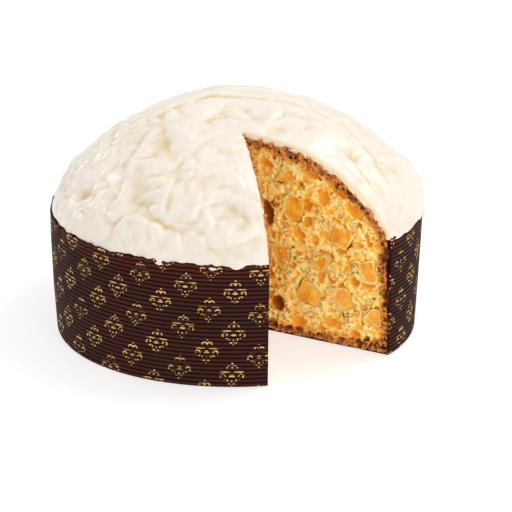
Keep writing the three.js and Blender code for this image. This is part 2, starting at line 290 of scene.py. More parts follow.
# %% Folds
# Rise of the bank, its width, how soft its edge is, then the points of the line. The bank lies
# on the right of the line, or on its left where the rise is negative.
FOLDS = [
    (-2.4, 11, 1.3, (-43, -12), (-48, -18), (-53, -29), (-58, -38), (-58, -50), (-61, -60), (-72, -66)),
    (-2.6, 13, 1.5, (6, -29), (-3, -27), (-12, -33), (-21, -46), (-28, -56), (-33, -66)),
    (1.8, 10, 1.2, (-26, -53), (-33, -66), (-37, -76), (-38, -86)),
    (-2.8, 9, 1.0, (-34, -88), (-44, -82), (-51, -76), (-58, -73), (-64, -75), (-67, -80)),
    (-2.0, 7, 1.0, (-77, -43), (-86, -43), (-89, -48), (-89, -56)),
    (-1.8, 8, 1.4, (-26, -86), (-15, -80), (-6, -78), (3, -83), (11, -92)),
    (-1.6, 8, 1.2, (-44, -79), (-35, -86), (-22, -90), (-8, -94)),
    (-1.2, 4, 0.8, (-22, -98), (-8, -99), (2, -98), (17, -94)),
    (-1.7, 9, 1.5, (-22, -12), (-16, -1), (-10, 2), (-2, 3), (6, -8)),
    (1.3, 8, 1.4, (-12, 12), (3, 7), (11, -10), (18, -28)),
    (2.0, 10, 1.4, (22, 17), (2, 23), (-14, 25), (-34, 14), (-50, -1)),
    (-1.3, 6, 1.0, (-15, -52), (-10, -44), (-4, -42), (1, -47)),
    (1.0, 6, 1.1, (-13, -56), (-6, -58), (0, -65), (7, -75)),
    (-0.9, 5, 1.0, (-13, -71), (-6, -66), (1, -71)),
    (-1.2, 5, 1.0, (-84, -7), (-74, -2), (-66, 6)),
    (-1.3, 5, 1.0, (-76, -28), (-70, -19), (-60, -11)),
    (-1.2, 5, 1.0, (-73, -39), (-66, -33), (-59, -26)),
    (2.5, 12, 1.1, (6, 19), (21, 15), (34, 10), (43, 7), (50, -3), (60, -9), (70, -17), (75, -26),
     (79, -35), (87, -45)),
    (-1.5, 6, 1.3, (17, -18), (20, -4), (26, 1), (35, -1), (44, -5), (56, -9)),
    (1.8, 9, 1.2, (32, -32), (37, -22), (42, -16), (51, -15), (59, -16), (67, -21)),
    (1.3, 8, 1.0, (34, 42), (39, 28), (41, 16), (50, 8)),
    (1.3, 7, 1.0, (48, 27), (55, 14), (58, 0), (63, -7), (69, -14)),
    (-1.2, 6, 1.0, (60, 6), (64, 16), (72, 20), (86, 15)),
    (-1.2, 5, 0.9, (74, -14), (79, -20), (84, -15), (92, -1)),
    (1.1, 6, 1.0, (84, 14), (94, 4), (99, -10), (97, -28)),
    (-1.1, 5, 1.1, (50, -41), (58, -45), (66, -48), (75, -48)),
    (1.2, 6, 1.1, (61, -28), (66, -42), (73, -49), (78, -55)),
    (1.4, 11, 1.3, (-30, 40), (-50, 48), (-70, 40), (-84, 22)),
    (-1.7, 11, 1.3, (10, 55), (30, 64), (52, 60), (72, 38)),
    (1.7, 9, 1.2, (-24, 66), (-6, 80), (16, 88), (42, 84)),
    (1.5, 9, 1.2, (-60, 62), (-74, 56), (-86, 40), (-96, 16)),
]
FOLD_END = 10


def fold_rise(x, y):
    p = np.stack([x, y], -1)
    total = np.zeros_like(x)
    for rise, width, soft, *line in FOLDS:
        line = np.array(line, float)
        lengths = np.hypot(*np.diff(line, axis=0).T)
        starts = np.cumsum(lengths) - lengths
        nearest = np.full(x.shape, 1e9)
        side = np.zeros_like(x)
        place = np.zeros_like(x)
        for a, b, length, start in zip(line[:-1], line[1:], lengths, starts):
            step = (b - a) / length
            t = np.clip((p - a) @ step, 0, length)
            away = p - a - t[..., None] * step
            distance = np.hypot(away[..., 0], away[..., 1])
            closer = distance < nearest
            nearest = np.where(closer, distance, nearest)
            turn = step[0] * away[..., 1] - step[1] * away[..., 0]
            side = np.where(closer, -np.sign(turn), side)
            place = np.where(closer, start + t, place)
        signed = nearest * side * np.sign(rise)
        ends = ease(place / FOLD_END) * ease((lengths.sum() - place) / FOLD_END)
        ends = ends * (1 + 0.35 * noise(np.stack([x, y, 0 * x], -1), 13, 18))
        bank = np.exp(-np.abs(signed) / width) * (0.5 + 0.5 * np.tanh(signed / soft))
        groove = np.exp(-(((signed + 1.2 * soft) / (0.9 * soft + 0.12 * width)) ** 2))
        total += abs(rise) * ends * (bank - 0.4 * groove)
    return total


print(len(FOLDS), "folds")

# %% [markdown]
# ## All the glaze's unevenness
# Lumps and folds leave the glaze between them too smooth. Noise that is folded over at zero
# adds small round lumps with soft creases, three sizes of them, rougher on the left, and
# short runs down the slope. The dough's own surface, under the glaze, has the lumps alone.

# %% The lumpy dome
def crease(points, scale, seed):
    """Noise folded over at zero, which gives lumps with soft creases between them."""
    return np.sqrt(noise(points, scale, seed) ** 2 + 0.012) - 0.35


def swell(x, y, fine=True):
    """How far the glaze stands out from the smooth dome, along its normal."""
    total = lump_rise(x, y, LUMPS) * (1 - share_out(x, y) ** 16)
    if fine:
        height = smooth_height(x, y)
        p = np.stack([x, y, height], -1)
        total = total + 0.62 * fold_rise(x, y) + 0.7 * lump_rise(x, y, SMALL_LUMPS)
        bent = p + 5 * np.stack([noise(p, 19, 16), noise(p, 19, 17), noise(p, 19, 19)], -1)
        rough = 0.45 + 0.55 * ease((25 - x) / 50)
        low_down = 0.4 * ease((share_out(x, y) - 0.72) / 0.2) * ease((30 - x) / 40)
        total += 1.6 * crease(bent, 15, 11) + rough * 1.7 * crease(bent, 8.5, 12)
        total += (rough * 0.45 + low_down) * crease(bent, 4.4, 13)
        out = np.hypot(x, y)
        around = np.arctan2(y, x)
        downhill = np.hypot(out, 125 - height)
        flow = np.stack([around * 60 + 5 * noise(p, 14, 14), downhill / 2.6, np.zeros_like(x)], -1)
        total -= 0.55 * rough * ease((out - 25) / 40) * crease(flow, 4.6, 15)
        total *= 1 - share_out(x, y) ** 60
    return total


def dome_points(x, y, depth, fine=True):
    """Points at a depth under the lumpy dome, below or above places of the smooth one."""
    foot = np.stack([x, y, smooth_height(x, y)], -1)
    normal = dome_gradient(foot)
    normal /= np.linalg.norm(normal, axis=-1, keepdims=True)
    return foot + normal * (swell(x, y, fine) - depth)[..., None]


print("a point of the crown:", dome_points(np.array([1.0]), np.array([30.0]), 0.0).round(1))

# %% [markdown]
# ## The glaze
# The glaze is one thick skin: an outer face, an inner face that lies on the crust, and a
# rounded edge that joins them along the two cuts and round the rim. Its grid fans out from
# the tip of the wedge, so its first and last columns run exactly along the knife's planes.
# Columns lie close together there, because the lip that the knife left is only two
# millimetres round.

# %% A grid for the glaze
LIP = 1.9
EDGE_STEPS = 5
first_columns = np.radians([0, 0.1, 0.25, 0.5, 0.85, 1.3, 1.9, 2.6])
sweep = 2 * np.pi - (RIGHT_ANGLE - LEFT_ANGLE)
middle_columns = np.linspace(np.radians(3.2), sweep - np.radians(3.2), 500)
turn = np.concatenate([first_columns, middle_columns, sweep - first_columns[::-1]])
INNER_EVERY = 12
rows = 1 - (1 - np.linspace(0, 1, 12 * INNER_EVERY + 1)) ** 1.35

tip_plan = TIP_FOOT[:2] + (TIP_CROWN - TIP_FOOT)[:2] * 1.02
heading = direction(RIGHT_ANGLE + turn)[:, :2]
from_centre = tip_plan - np.array([DOME_CENTRE, 0])
along = heading @ from_centre
reach = -along + np.sqrt(along**2 - from_centre @ from_centre + DOME_REACH**2)
plan = tip_plan + (rows[None, :, None] * reach[:, None, None]) * heading[:, None, :]
grid_x, grid_y = plan[..., 0], plan[..., 1]
print("glaze grid:", grid_x.shape)

# %% [markdown]
# The lip: each point knows how far it lies from the cut, and within the lip's radius it rolls
# down. Afterwards every point is nudged along the plane's own direction until it stands at
# the distance that its column has, which keeps the first column in the plane although the
# dome's normal doesn't.

# %% The outer and inner face of the glaze
ray = rows[None, :] * reach[:, None]
off_right = ray * np.sin(np.minimum(turn, np.pi / 2))[:, None]
off_left = ray * np.sin(np.minimum(sweep - turn, np.pi / 2))[:, None]
off_cut = np.minimum(off_right, off_left)


def onto_planes(points):
    for cut, off in ((RIGHT_CUT, off_right), (LEFT_CUT, off_left)):
        wrong = off - cut.depth(points)
        fade = np.exp(-((off / 9) ** 2))
        near = turn < np.pi / 2 if cut is RIGHT_CUT else sweep - turn < np.pi / 2
        points = points + (wrong * fade * near[:, None])[..., None] * cut.w
    return points


roll = LIP * (1 - np.sqrt(1 - np.clip(1 - off_cut / LIP, 0, 1) ** 2))
outer = onto_planes(dome_points(grid_x, grid_y, roll))
inner = onto_planes(dome_points(grid_x, grid_y, ICING_THICKNESS, fine=False))
print("outer face:", outer.reshape(-1, 3).min(0).round(1), outer.reshape(-1, 3).max(0).round(1))

# %% [markdown]
# Where the glaze meets the paper it has set in an uneven edge that sags over the rim, more in
# some places than in others, with a few short drips. The last rows of the outer face are
# pulled down for it, so no other piece is needed.

# %% The sagging edge and its drips
# Angle in degrees round the dome, and length
DRIPS = [
    (-96.2, 0.8), (-89.2, 0.5), (-112, 0.5), (-128, 0.9),
    (-151, 1.2), (-10, 1.1), (75, 1.4), (140, 1.2),
]
DRIP_WIDTH = 1.7
rim_place = np.stack([grid_x[:, -1], grid_y[:, -1], np.zeros(len(turn))], -1)
rim_angle = np.arctan2(rim_place[:, 1], rim_place[:, 0])
sag = 0.8 + 0.9 * noise(rim_place, 15, 21) + 1.0 * noise(rim_place, 5.5, 22)
lap = np.zeros(len(turn))
for drip, length in DRIPS:
    away = np.degrees(np.angle(np.exp(1j * (rim_angle - np.radians(drip)))))
    drop = np.exp(-((away / DRIP_WIDTH) ** 2))
    sag, lap = sag + 1.5 * length * drop, lap + 1.3 * drop
sag_share = ease((rows - 0.955) / 0.045)
radial = rim_place / np.linalg.norm(rim_place, axis=-1, keepdims=True)
on_left = ease((-grid_x[:, -1] - 55) / 40)
outer[..., 2] -= sag[:, None] * sag_share
outward = (0.5 + 0.35 * noise(rim_place, 9, 23)) * (1 - on_left) + lap
outer += (outward[:, None] * sag_share)[..., None] * radial[:, None, :]
print("the edge sags by", sag.min().round(1), "to", sag.max().round(1), "mm")

# %% [markdown]
# The two faces are joined by short chains of points, all the way round: along the right cut,
# round the rim and back along the left cut. At the cuts the chains bulge towards the knife,
# where the glaze was dragged a little, and at the rim they bulge down.

# %% The edge between the two faces
columns, depth_rows = grid_x.shape
number = np.arange(columns * depth_rows).reshape(columns, depth_rows)
number[:, 0] = 0
path = [(0, r) for r in range(depth_rows)]
path += [(c, depth_rows - 1) for c in range(1, columns)]
path += [(columns - 1, r) for r in range(depth_rows - 2, 0, -1)]
path = np.array(path)
start, end = outer[path[:, 0], path[:, 1]], inner[path[:, 0], path[:, 1]]
push = np.zeros_like(start)
at_right, at_left = path[:, 0] == 0, path[:, 0] == columns - 1
push[at_right] -= RIGHT_CUT.w
push[at_left] -= LEFT_CUT.w
at_rim = path[:, 1] == depth_rows - 1
push[at_rim] += np.array([0, 0, -0.9]) + 0.3 * radial[path[at_rim, 0]]
bulge = 0.5 + 0.4 * noise(start, 7, 24) + 0.4 * noise(start, 3, 25)
chain = []
for k in range(1, EDGE_STEPS + 1):
    t = k / (EDGE_STEPS + 1)
    chain.append(start + t * (end - start) + (np.sin(np.pi * t**0.8) * bulge)[:, None] * push)
chain = np.stack(chain, 1)
print("chains along the edge:", chain.shape[0])

# %% [markdown]
# All points get numbers, and faces are laid between them: quads over the outer face, a fan at
# the tip, and a strip over the chains. The hidden inner face gets only every twelfth row,
# because nobody sees it, and many-sided faces beside the cuts take in all points there.

# %% Faces of the glaze
face_count = columns * depth_rows
outer_number = number
inner_number = number + face_count
chain_number = 2 * face_count + np.arange(len(path) * EDGE_STEPS).reshape(len(path), EDGE_STEPS)
ladder = np.concatenate(
    [
        outer_number[path[:, 0], path[:, 1]][:, None],
        chain_number,
        inner_number[path[:, 0], path[:, 1]][:, None],
    ],
    1,
)
a, b, c, d = number[:-1, 1:-1], number[1:, 1:-1], number[1:, 2:], number[:-1, 2:]
quads = np.stack([a, b, c, d], -1).reshape(-1, 4)
fan = np.stack([np.zeros(columns - 1, int), number[:-1, 1], number[1:, 1]], -1)
# The hidden inner face has few rows. Beside the cuts its faces take in all points of the edge.
coarse = number[:, ::INNER_EVERY]
a, b, c, d = coarse[1:-2, 1:-1], coarse[2:-1, 1:-1], coarse[2:-1, 2:], coarse[1:-2, 2:]
inner_quads = np.stack([a, b, c, d], -1).reshape(-1, 4) + face_count
inner_fan = np.stack([coarse[2:-1, 1], coarse[1:-2, 1], np.zeros(columns - 3, int)], -1) + face_count
sides, tips = [], []
for k in range(coarse.shape[1] - 1):
    fine = number[:, k * INNER_EVERY : (k + 1) * INNER_EVERY + 1]
    right = [*fine[0][::-1], *([coarse[1, k]] if k else []), coarse[1, k + 1]]
    left = [*fine[-1], coarse[-2, k + 1], *([coarse[-2, k]] if k else [])]
    (sides if k else tips).extend([right, left])
sides, tips = np.array(sides) + face_count, np.array(tips) + face_count
next_rung = np.roll(ladder, -1, axis=0)
strip = np.stack([ladder[:, :-1], ladder[:, 1:], next_rung[:, 1:], next_rung[:, :-1]], -1).reshape(-1, 4)
faces = [quads[:, ::-1], fan, strip, inner_quads, inner_fan, sides, tips]
points = np.concatenate([outer.reshape(-1, 3), inner.reshape(-1, 3), chain.reshape(-1, 3)])
print("points of the glaze:", len(points))

# %% [markdown]
# The glaze's colour is warmer and darker in its hollows, as painted shade, and warmer along
# the knife's cut. Both are kept as attributes: how deep a point lies against a blurred copy of
# the relief round it, and how near the cut it is. Then the points that no face uses are left
# out and the mesh is made.

# %% The glaze
BLUR_ROUNDS = 40


def drop_unused(points, faces, *values):
    """Leaves out points that no face uses."""
    used = np.unique(np.concatenate([f.ravel() for f in faces]))
    renumber = np.zeros(len(points), int)
    renumber[used] = np.arange(len(used))
    return points[used], [renumber[f] for f in faces], *[v[used] for v in values]


relief = swell(grid_x, grid_y)
broad = relief.copy()
for _ in range(BLUR_ROUNDS):
    broad[1:-1, 1:-1] = (
        broad[1:-1, 1:-1] * 0.2
        + 0.2 * (broad[:-2, 1:-1] + broad[2:, 1:-1] + broad[1:-1, :-2] + broad[1:-1, 2:])
    )
# How far a point sinks below the blurred relief, for painted shade in the glaze's hollows.
hollow = np.clip((broad - relief) / 1.1, -1, 1)
lip_value = np.maximum(ease(1 - off_right / 2.0), 0.3 * ease(1 - off_left / 2.0)).ravel()
edge_value = np.concatenate([lip_value, np.zeros(face_count), np.ones(chain[..., 0].size)])
painted_hollow_shade_value = np.concatenate([hollow.ravel(), np.zeros(face_count), np.zeros(chain[..., 0].size)])
points, faces, edge_value, painted_hollow_shade_value = drop_unused(points, faces, edge_value, painted_hollow_shade_value)
make_piece(
    "glaze", points, faces, ["icing"], {"cut_edge": edge_value, "hollow": painted_hollow_shade_value}
)

# %% [markdown]
# ## The paper case
# A panettone case is baking paper pressed into some thirty level ribs, so that it stands up
# by itself. The ribs are real geometry here, because they catch the light one by one and
# break up the gold print; bump would leave the outline smooth. Each level ring of the wall
# ends at the two knife planes, so first its ends are worked out.

# %% Where the wall meets the cuts
RIB_PITCH = 2.39
RIB_STEPS = 6
RIB_DEPTH = 0.6
PAPER = 0.45


def wall_radius(z):
    return FOOT_RADIUS + (RIM_RADIUS - FOOT_RADIUS) * z / CASE_HEIGHT


def wall_ends(z, radius):
    """The angles at which a ring of the wall meets the right and the left cut."""
    ends = []
    for cut in (RIGHT_CUT, LEFT_CUT):
        level = np.hypot(cut.w[0], cut.w[1])
        away = (TIP_FOOT[:2] @ cut.w[:2] - (z - TIP_FOOT[2]) * cut.w[2]) / level
        facing = np.arctan2(cut.w[1], cut.w[0])
        half = np.arccos(np.clip(away / radius, -1, 1))
        ends.append((facing, half))
    right = ends[0][0] - ends[0][1]
    left = ends[1][0] + ends[1][1]
    return right, left


print("ends of the foot's ring:", np.degrees(wall_ends(0.0, FOOT_RADIUS)).round(1))

# %% [markdown]
# The wall is built as rings of points from one cut to the other. Its upper edge is pinked and
# a little crumpled, loosest on the left, where it stands off the glaze.

# %% The ribbed wall and its pinked rim
def rib(z):
    """Height of a rib over its groove, 0 to 1: a round crest and a narrow groove."""
    return np.abs(np.sin(np.pi * z / RIB_PITCH)) ** 0.8


def wall_grid(z, columns, inset):
    radius = wall_radius(z) - inset
    right_end, left_end = wall_ends(z, radius)
    share = np.linspace(0, 1, columns)[:, None]
    angle = right_end + (left_end + 2 * np.pi - right_end) * share
    return angle, radius * np.ones_like(angle), z * np.ones_like(angle)


rib_count = int(round(CASE_HEIGHT / RIB_PITCH))
RIB_PITCH = CASE_HEIGHT / rib_count
z_out = np.linspace(0, CASE_HEIGHT, rib_count * RIB_STEPS + 1)
z_in = np.linspace(PAPER, CASE_HEIGHT, rib_count + 1)
# Where the rim stands off the glaze, and where the wall bulges
LOOSE_AT, BULGE_AT = np.radians(192), np.radians(222)


def crumple(angle, radius, z):
    """The wall isn't quite round, and its rim is pinked, crumpled and a little loose."""
    on_wall = np.stack([np.cos(angle) * RIM_RADIUS, np.sin(angle) * RIM_RADIUS, z], -1)
    rim_spot = on_wall * [1, 1, 0]
    slack = ease((z - 52) / 18)
    radius = radius + 0.35 * noise(on_wall, 34, 31) + 0.22 * noise(on_wall, (9, 9, 30), 32) * slack
    left = np.exp(-((np.angle(np.exp(1j * (angle - LOOSE_AT))) / 0.5) ** 2))
    radius = radius + slack * left * (-0.8 + 0.7 * noise(rim_spot, 6, 33))
    bulge = np.exp(-((np.angle(np.exp(1j * (angle - BULGE_AT))) / 0.6) ** 2))
    radius = radius + 1.7 * bulge * ease((58 - z) / 40)
    edge = 0.75 * noise(rim_spot, 3.2, 34) + 0.55 * noise(rim_spot, 1.7, 35)
    z = z + ease((z - 62) / 8) * (edge + 0.2 - 1.8 * left)
    return np.stack([np.cos(angle) * radius, np.sin(angle) * radius, z], -1)


WALL_COLUMNS = 400
angle, radius, z = wall_grid(z_out, WALL_COLUMNS, 0.0)
wall_out = crumple(angle, radius - RIB_DEPTH * (1 - rib(z)), z)
angle, radius, z = wall_grid(z_in, WALL_COLUMNS, RIB_DEPTH + PAPER * 0.6)
wall_in = crumple(angle, radius, z)
print("wall:", wall_out.shape, "radius at the rim", np.hypot(*wall_out[:, -1, :2].T).max().round(2))

# %% [markdown]
# Outer wall, inner wall, rim, the two cut edges and the paper floor close to one solid. The
# outer wall has six rows of points for each rib and the inner one a single row, so a cut edge
# is one many-sided face for each rib.

# %% Close the case
n_out, n_in = wall_out.shape[1], wall_in.shape[1]
out_number = np.arange(WALL_COLUMNS * n_out).reshape(WALL_COLUMNS, n_out)
in_number = out_number.size + np.arange(WALL_COLUMNS * n_in).reshape(WALL_COLUMNS, n_in)
tip_low = out_number.size + in_number.size
tip_high = tip_low + 1


def sheet_quads(number):
    a, b, c, d = number[:-1, :-1], number[1:, :-1], number[1:, 1:], number[:-1, 1:]
    return np.stack([a, b, c, d], -1).reshape(-1, 4)


edges = []
for column, turned in ((0, False), (WALL_COLUMNS - 1, True)):
    for k in range(n_in - 1):
        rung = list(out_number[column, k * RIB_STEPS : (k + 1) * RIB_STEPS + 1])
        rung += [in_number[column, k + 1], in_number[column, k]]
        edges.append(rung[::-1] if turned else rung)
rim = np.stack(
    [out_number[:-1, -1], out_number[1:, -1], in_number[1:, -1], in_number[:-1, -1]], -1
)
under = np.stack([np.full(WALL_COLUMNS - 1, tip_low), out_number[1:, 0], out_number[:-1, 0]], -1)
above = np.stack([np.full(WALL_COLUMNS - 1, tip_high), in_number[:-1, 0], in_number[1:, 0]], -1)
floor_edges = np.array(
    [
        [tip_low, out_number[0, 0], in_number[0, 0], tip_high],
        [tip_high, in_number[-1, 0], out_number[-1, 0], tip_low],
    ]
)
points = np.concatenate(
    [wall_out.reshape(-1, 3), wall_in.reshape(-1, 3), [TIP_FOOT, TIP_FOOT + [0, 0, PAPER]]]
)
faces = [sheet_quads(out_number), sheet_quads(in_number)[:, ::-1], rim, under, above, floor_edges]
faces.append(np.array(edges))
groove = np.zeros(len(points))
groove[: out_number.size] = (1 - rib(np.tile(z_out, WALL_COLUMNS))).ravel()
make_piece("baking_case", points, faces, ["paper_case"], {"groove": groove})

# %% [markdown]
# ## Crumb
# Bread crumb is a foam: thin pale walls round thousands of bubbles, which the knife tears
# open. Bump mapping would leave the cut flat in every slanting view, so the bubbles are real
# here. A thin slab behind each cut is filled with small cells that hold the distance to the
# bread's surface; every bubble is an ellipsoid taken out of it; and the surface is then drawn
# as a net through the cells where the distance changes sign.

# %% Surface nets
def surface_net(field, step):
    """Points and quads of the surface where a field goes from negative (inside) to positive."""
    inside = field < 0
    corners = [np.array(c) for c in np.ndindex(2, 2, 2)]
    span = np.array(field.shape) - 1
    view = lambda a, c: a[c[0] : c[0] + span[0], c[1] : c[1] + span[1], c[2] : c[2] + span[2]]
    count = sum(view(inside, c).astype(np.int8) for c in corners)
    mixed = (count > 0) & (count < 8)
    cells = np.argwhere(mixed)
    values = np.stack([field[tuple((cells + c).T)] for c in corners], -1)
    total = np.zeros((len(cells), 3))
    crossings = np.zeros(len(cells))
    for i, c in enumerate(corners):
        for axis in range(3):
            if c[axis]:
                continue
            j = i + (4, 2, 1)[axis]
            a, b = values[:, i], values[:, j]
            cross = (a < 0) != (b < 0)
            t = np.where(cross, a / np.where(cross, a - b, 1), 0)
            spot = c + t[:, None] * np.eye(3)[axis]
            total += spot * cross[:, None]
            crossings += cross
    points = (cells + total / crossings[:, None]) * step
    index = np.full(mixed.shape, -1)
    index[tuple(cells.T)] = np.arange(len(cells))
    quads = []
    for axis in range(3):
        near = [slice(None)] * 3
        far = [slice(None)] * 3
        near[axis], far[axis] = slice(None, -1), slice(1, None)
        a, b = inside[tuple(near)], inside[tuple(far)]
        side, up = (axis + 1) % 3, (axis + 2) % 3
        for rising, edge in ((False, b & ~a), (True, a & ~b)):
            spots = np.argwhere(edge)
            spots = spots[(spots[:, side] > 0) & (spots[:, up] > 0)]
            spots = spots[(spots[:, side] < span[side]) & (spots[:, up] < span[up])]
            ring = []
            for ds, du in ((1, 1), (0, 1), (0, 0), (1, 0)):
                cell = spots.copy()
                cell[:, side] -= ds
                cell[:, up] -= du
                ring.append(index[tuple(cell.T)])
            ring = np.stack(ring, -1)
            quads.append(ring if rising else ring[:, ::-1])
    return points, np.concatenate(quads), cells


ball = np.linalg.norm(np.indices((12, 12, 12)) - 5.5, axis=0) - 4
print("a ball of four cells' radius has", len(surface_net(ball, 1.0)[1]), "quads")

# %% [markdown]
# What limits the bread is written as distances that are negative inside it: the dome less the
# glaze, the wall of the case, its floor, and the two knife planes. The wedge is gone where a
# point lies in front of both planes, so the bread is what lies behind either of them.

# %% Distances to the bread's surface
BREAD_DEPTH = ICING_THICKNESS + 0.25


def bread_distance(points):
    """Distance to the surface of the whole, uncut loaf, negative inside it."""
    x, y, z = np.moveaxis(points, -1, 0)
    gradient = np.linalg.norm(dome_gradient(points), axis=-1)
    dome = dome_field(points) / np.maximum(gradient, 0.004)
    dome = np.clip(dome, -40, 40) - swell(x, y, fine=False) + BREAD_DEPTH
    wall = np.hypot(x, y) - wall_radius(z) + RIB_DEPTH + PAPER + 0.55
    return np.maximum(np.maximum(dome, wall), PAPER + 0.35 - z)


print("inside the bread:", bread_distance(np.array([[-40.0, 0, 40]])).round(1))

# %% [markdown]
# The fruit comes first, because each cube needs its pocket in the crumb. A candied cube is a
# box with blunt edges that has swollen a little, lies askew in the dough and is cut off level
# with the knife's plane.

# %% The candied cubes
# Distance from the tip, height, width, height of the cube, turn in degrees, depth of its middle
PEARS_LEFT = [
    (17.5, 89, 11, 16, 8, 3.2), (31.5, 77, 13.5, 11.5, -24, 4.6), (40, 62.5, 14, 8, -12, 5.0),
    (65, 60.5, 13, 14, 6, 3.4), (68.5, 44, 13, 12.5, -33, 5.2), (46, 38.5, 14, 12.5, 18, 6.0),
    (26, 27, 14, 20, 24, 4.2), (67.5, 22, 15.5, 13, 5, 5.8), (13, 48, 15, 12, -38, 3.0),
]
PEARS_RIGHT = [
    (26, 95.5, 16, 11.5, 4, 6.0), (33.5, 77, 12, 15.5, -8, 4.6), (27, 47, 12, 16, 12, 5.4),
    (62, 65, 14.5, 12, -28, 3.4), (80, 47.5, 12.5, 13.5, 15, 4.8), (51, 49, 13.5, 11.5, 38, 5.8),
    (43.5, 27, 14.5, 13, -14, 3.2), (65.5, 28.5, 13, 14.5, 26, 5.4), (84, 20, 12, 10.5, -6, 4.4),
    (11.5, 26.5, 12.5, 11, 30, 3.6),
]
SIDES = {"left": (LEFT_CUT, PEARS_LEFT, 0), "right": (RIGHT_CUT, PEARS_RIGHT, 20)}
BLUNT = 7


def turn_matrix(number, degrees):
    a, b, c = 0.35 * np.sin(2.4 * number), 0.4 * np.cos(1.7 * number), np.radians(degrees)
    about_x = np.array([[1, 0, 0], [0, np.cos(a), -np.sin(a)], [0, np.sin(a), np.cos(a)]])
    about_y = np.array([[np.cos(b), 0, np.sin(b)], [0, 1, 0], [-np.sin(b), 0, np.cos(b)]])
    about_z = np.array([[np.cos(c), -np.sin(c), 0], [np.sin(c), np.cos(c), 0], [0, 0, 1]])
    return about_x @ about_y @ about_z


def cut_frame(cut):
    """Level axes of a cut, as its fruit and holes are placed: along it, upright, into the gap."""
    upright = np.array([0.0, 0, 1])
    side = -np.sign(np.cross(cut.u, upright) @ cut.w)
    return np.stack([cut.u, upright, np.cross(cut.u, upright)], 1), side


def cut_spot(cut, distance, height, depth):
    """A place behind a cut, as far from the tip and as high as the tables say."""
    tip = TIP_FOOT + (TIP_CROWN - TIP_FOOT) * height / TIP_CROWN[2]
    basis, side = cut_frame(cut)
    spot = tip + cut.u * distance - basis[:, 2] * side * depth
    spot[2] = height
    return spot


def cube_frame(cut, row, number):
    """Middle, axes and half sizes of a candied cube."""
    distance, height, width, tall, degrees, depth = row
    axes = cut_frame(cut)[0] @ turn_matrix(number, degrees)
    half = np.array([width, tall, 0.8 * min(width, tall) + 2]) / 2
    return cut_spot(cut, distance, height, depth), axes, half


print("middle of the topmost cube:", cube_frame(RIGHT_CUT, PEARS_RIGHT[0], 20)[0].round(1))

# %% [markdown]
# Yeast leaves a few large smooth holes among the fine pores. They are the same as in the
# solid loaf, so they come from a table. Two of them on the right are deep, and painted shade
# makes them dark brown inside.

# %% Large holes
# Distance from the tip, height, width, height and depth of the hole, turn in degrees
HOLES_LEFT = [
    (30.5, 92, 8.5, 7.5, 6, -30), (58, 81, 7, 13, 5, 38), (57, 58.5, 5.5, 8.5, 7, 8),
    (73.5, 66, 6.5, 7, 5, 0), (83.5, 28, 5, 12, 4, 4), (12, 18.5, 6.5, 7, 4, 0),
    (47, 12.5, 8, 7.5, 4, 0), (37.5, 8.5, 9.5, 6, 4, 0), (57.5, 8, 8, 4.5, 4, -6),
    (43, 94.5, 10, 4.5, 4, -24), (18.5, 99.5, 7, 4, 3, 10), (54, 27.5, 5, 6, 5, 20),
    (24, 60, 7.5, 7, 3, 0), (80, 10, 5, 4, 4, 0), (78, 79, 8, 4, 3, -48),
]
HOLES_RIGHT = [
    (51.5, 86, 6.5, 9, 5, -14), (41, 80, 6, 7.5, 5, 8), (14.5, 101, 6.5, 4.5, 4, 0),
    (17, 71.5, 7.5, 14, 8, 6), (42.5, 99, 10, 4.5, 4, -16), (25, 17.5, 8, 9, 8, -20),
    (19, 36, 4.5, 9, 6, 4), (70, 82, 6, 10, 5, 40), (89, 60, 5, 9, 4, 8),
    (58, 12, 9, 5.5, 4, 4), (38, 9, 8, 5.5, 4, 0), (74, 8.5, 6, 4, 4, 0),
    (91.5, 34, 4.5, 10, 4, 2), (37, 62.5, 7, 5.5, 4, -20), (72, 39.5, 5, 5.5, 5, 0),
    (61, 91, 9, 4, 4, -34),
]
SHADED_HOLE_DEPTH = 8
print("holes:", len(HOLES_LEFT), "left and", len(HOLES_RIGHT), "right")

# %% [markdown]
# The torn crumb needs real pores, so a slab of it behind each cut is a box of cells in the
# cut's own directions. Its first form is the loaf's surface and the knife's plane, torn in lumps
# of several sizes. A remesh of thousands of joined balls would be slower.

# %% A slab of cells behind a cut
CELL = 0.6
SLAB_DEPTH = 9.0
SLAB_LOW = np.array([-3.0, -1.5, -2.6])
SLAB_SHAPE = (np.array([112.0, 126.0, SLAB_DEPTH + 3.8]) / CELL).astype(int)
SLAB_AXES = [SLAB_LOW[k] + np.arange(SLAB_SHAPE[k]) * CELL for k in range(3)]


def loaf_distance(cut):
    """The loaf's own surface is smooth, so it is measured at four depths and blended."""
    u, v = np.meshgrid(*SLAB_AXES[:2], indexing="ij")
    few = np.linspace(0, SLAB_SHAPE[2] - 1, 4)
    depths = [np.full(u.shape, SLAB_LOW[2] + k * CELL) for k in few]
    stack = np.stack([bread_distance(cut.to_world(u, v, w)) for w in depths], -1)
    place = np.arange(SLAB_SHAPE[2]) / few[1]
    i = np.minimum(place.astype(int), 2)
    t = place - i
    return stack[..., i] * (1 - t) + stack[..., i + 1] * t


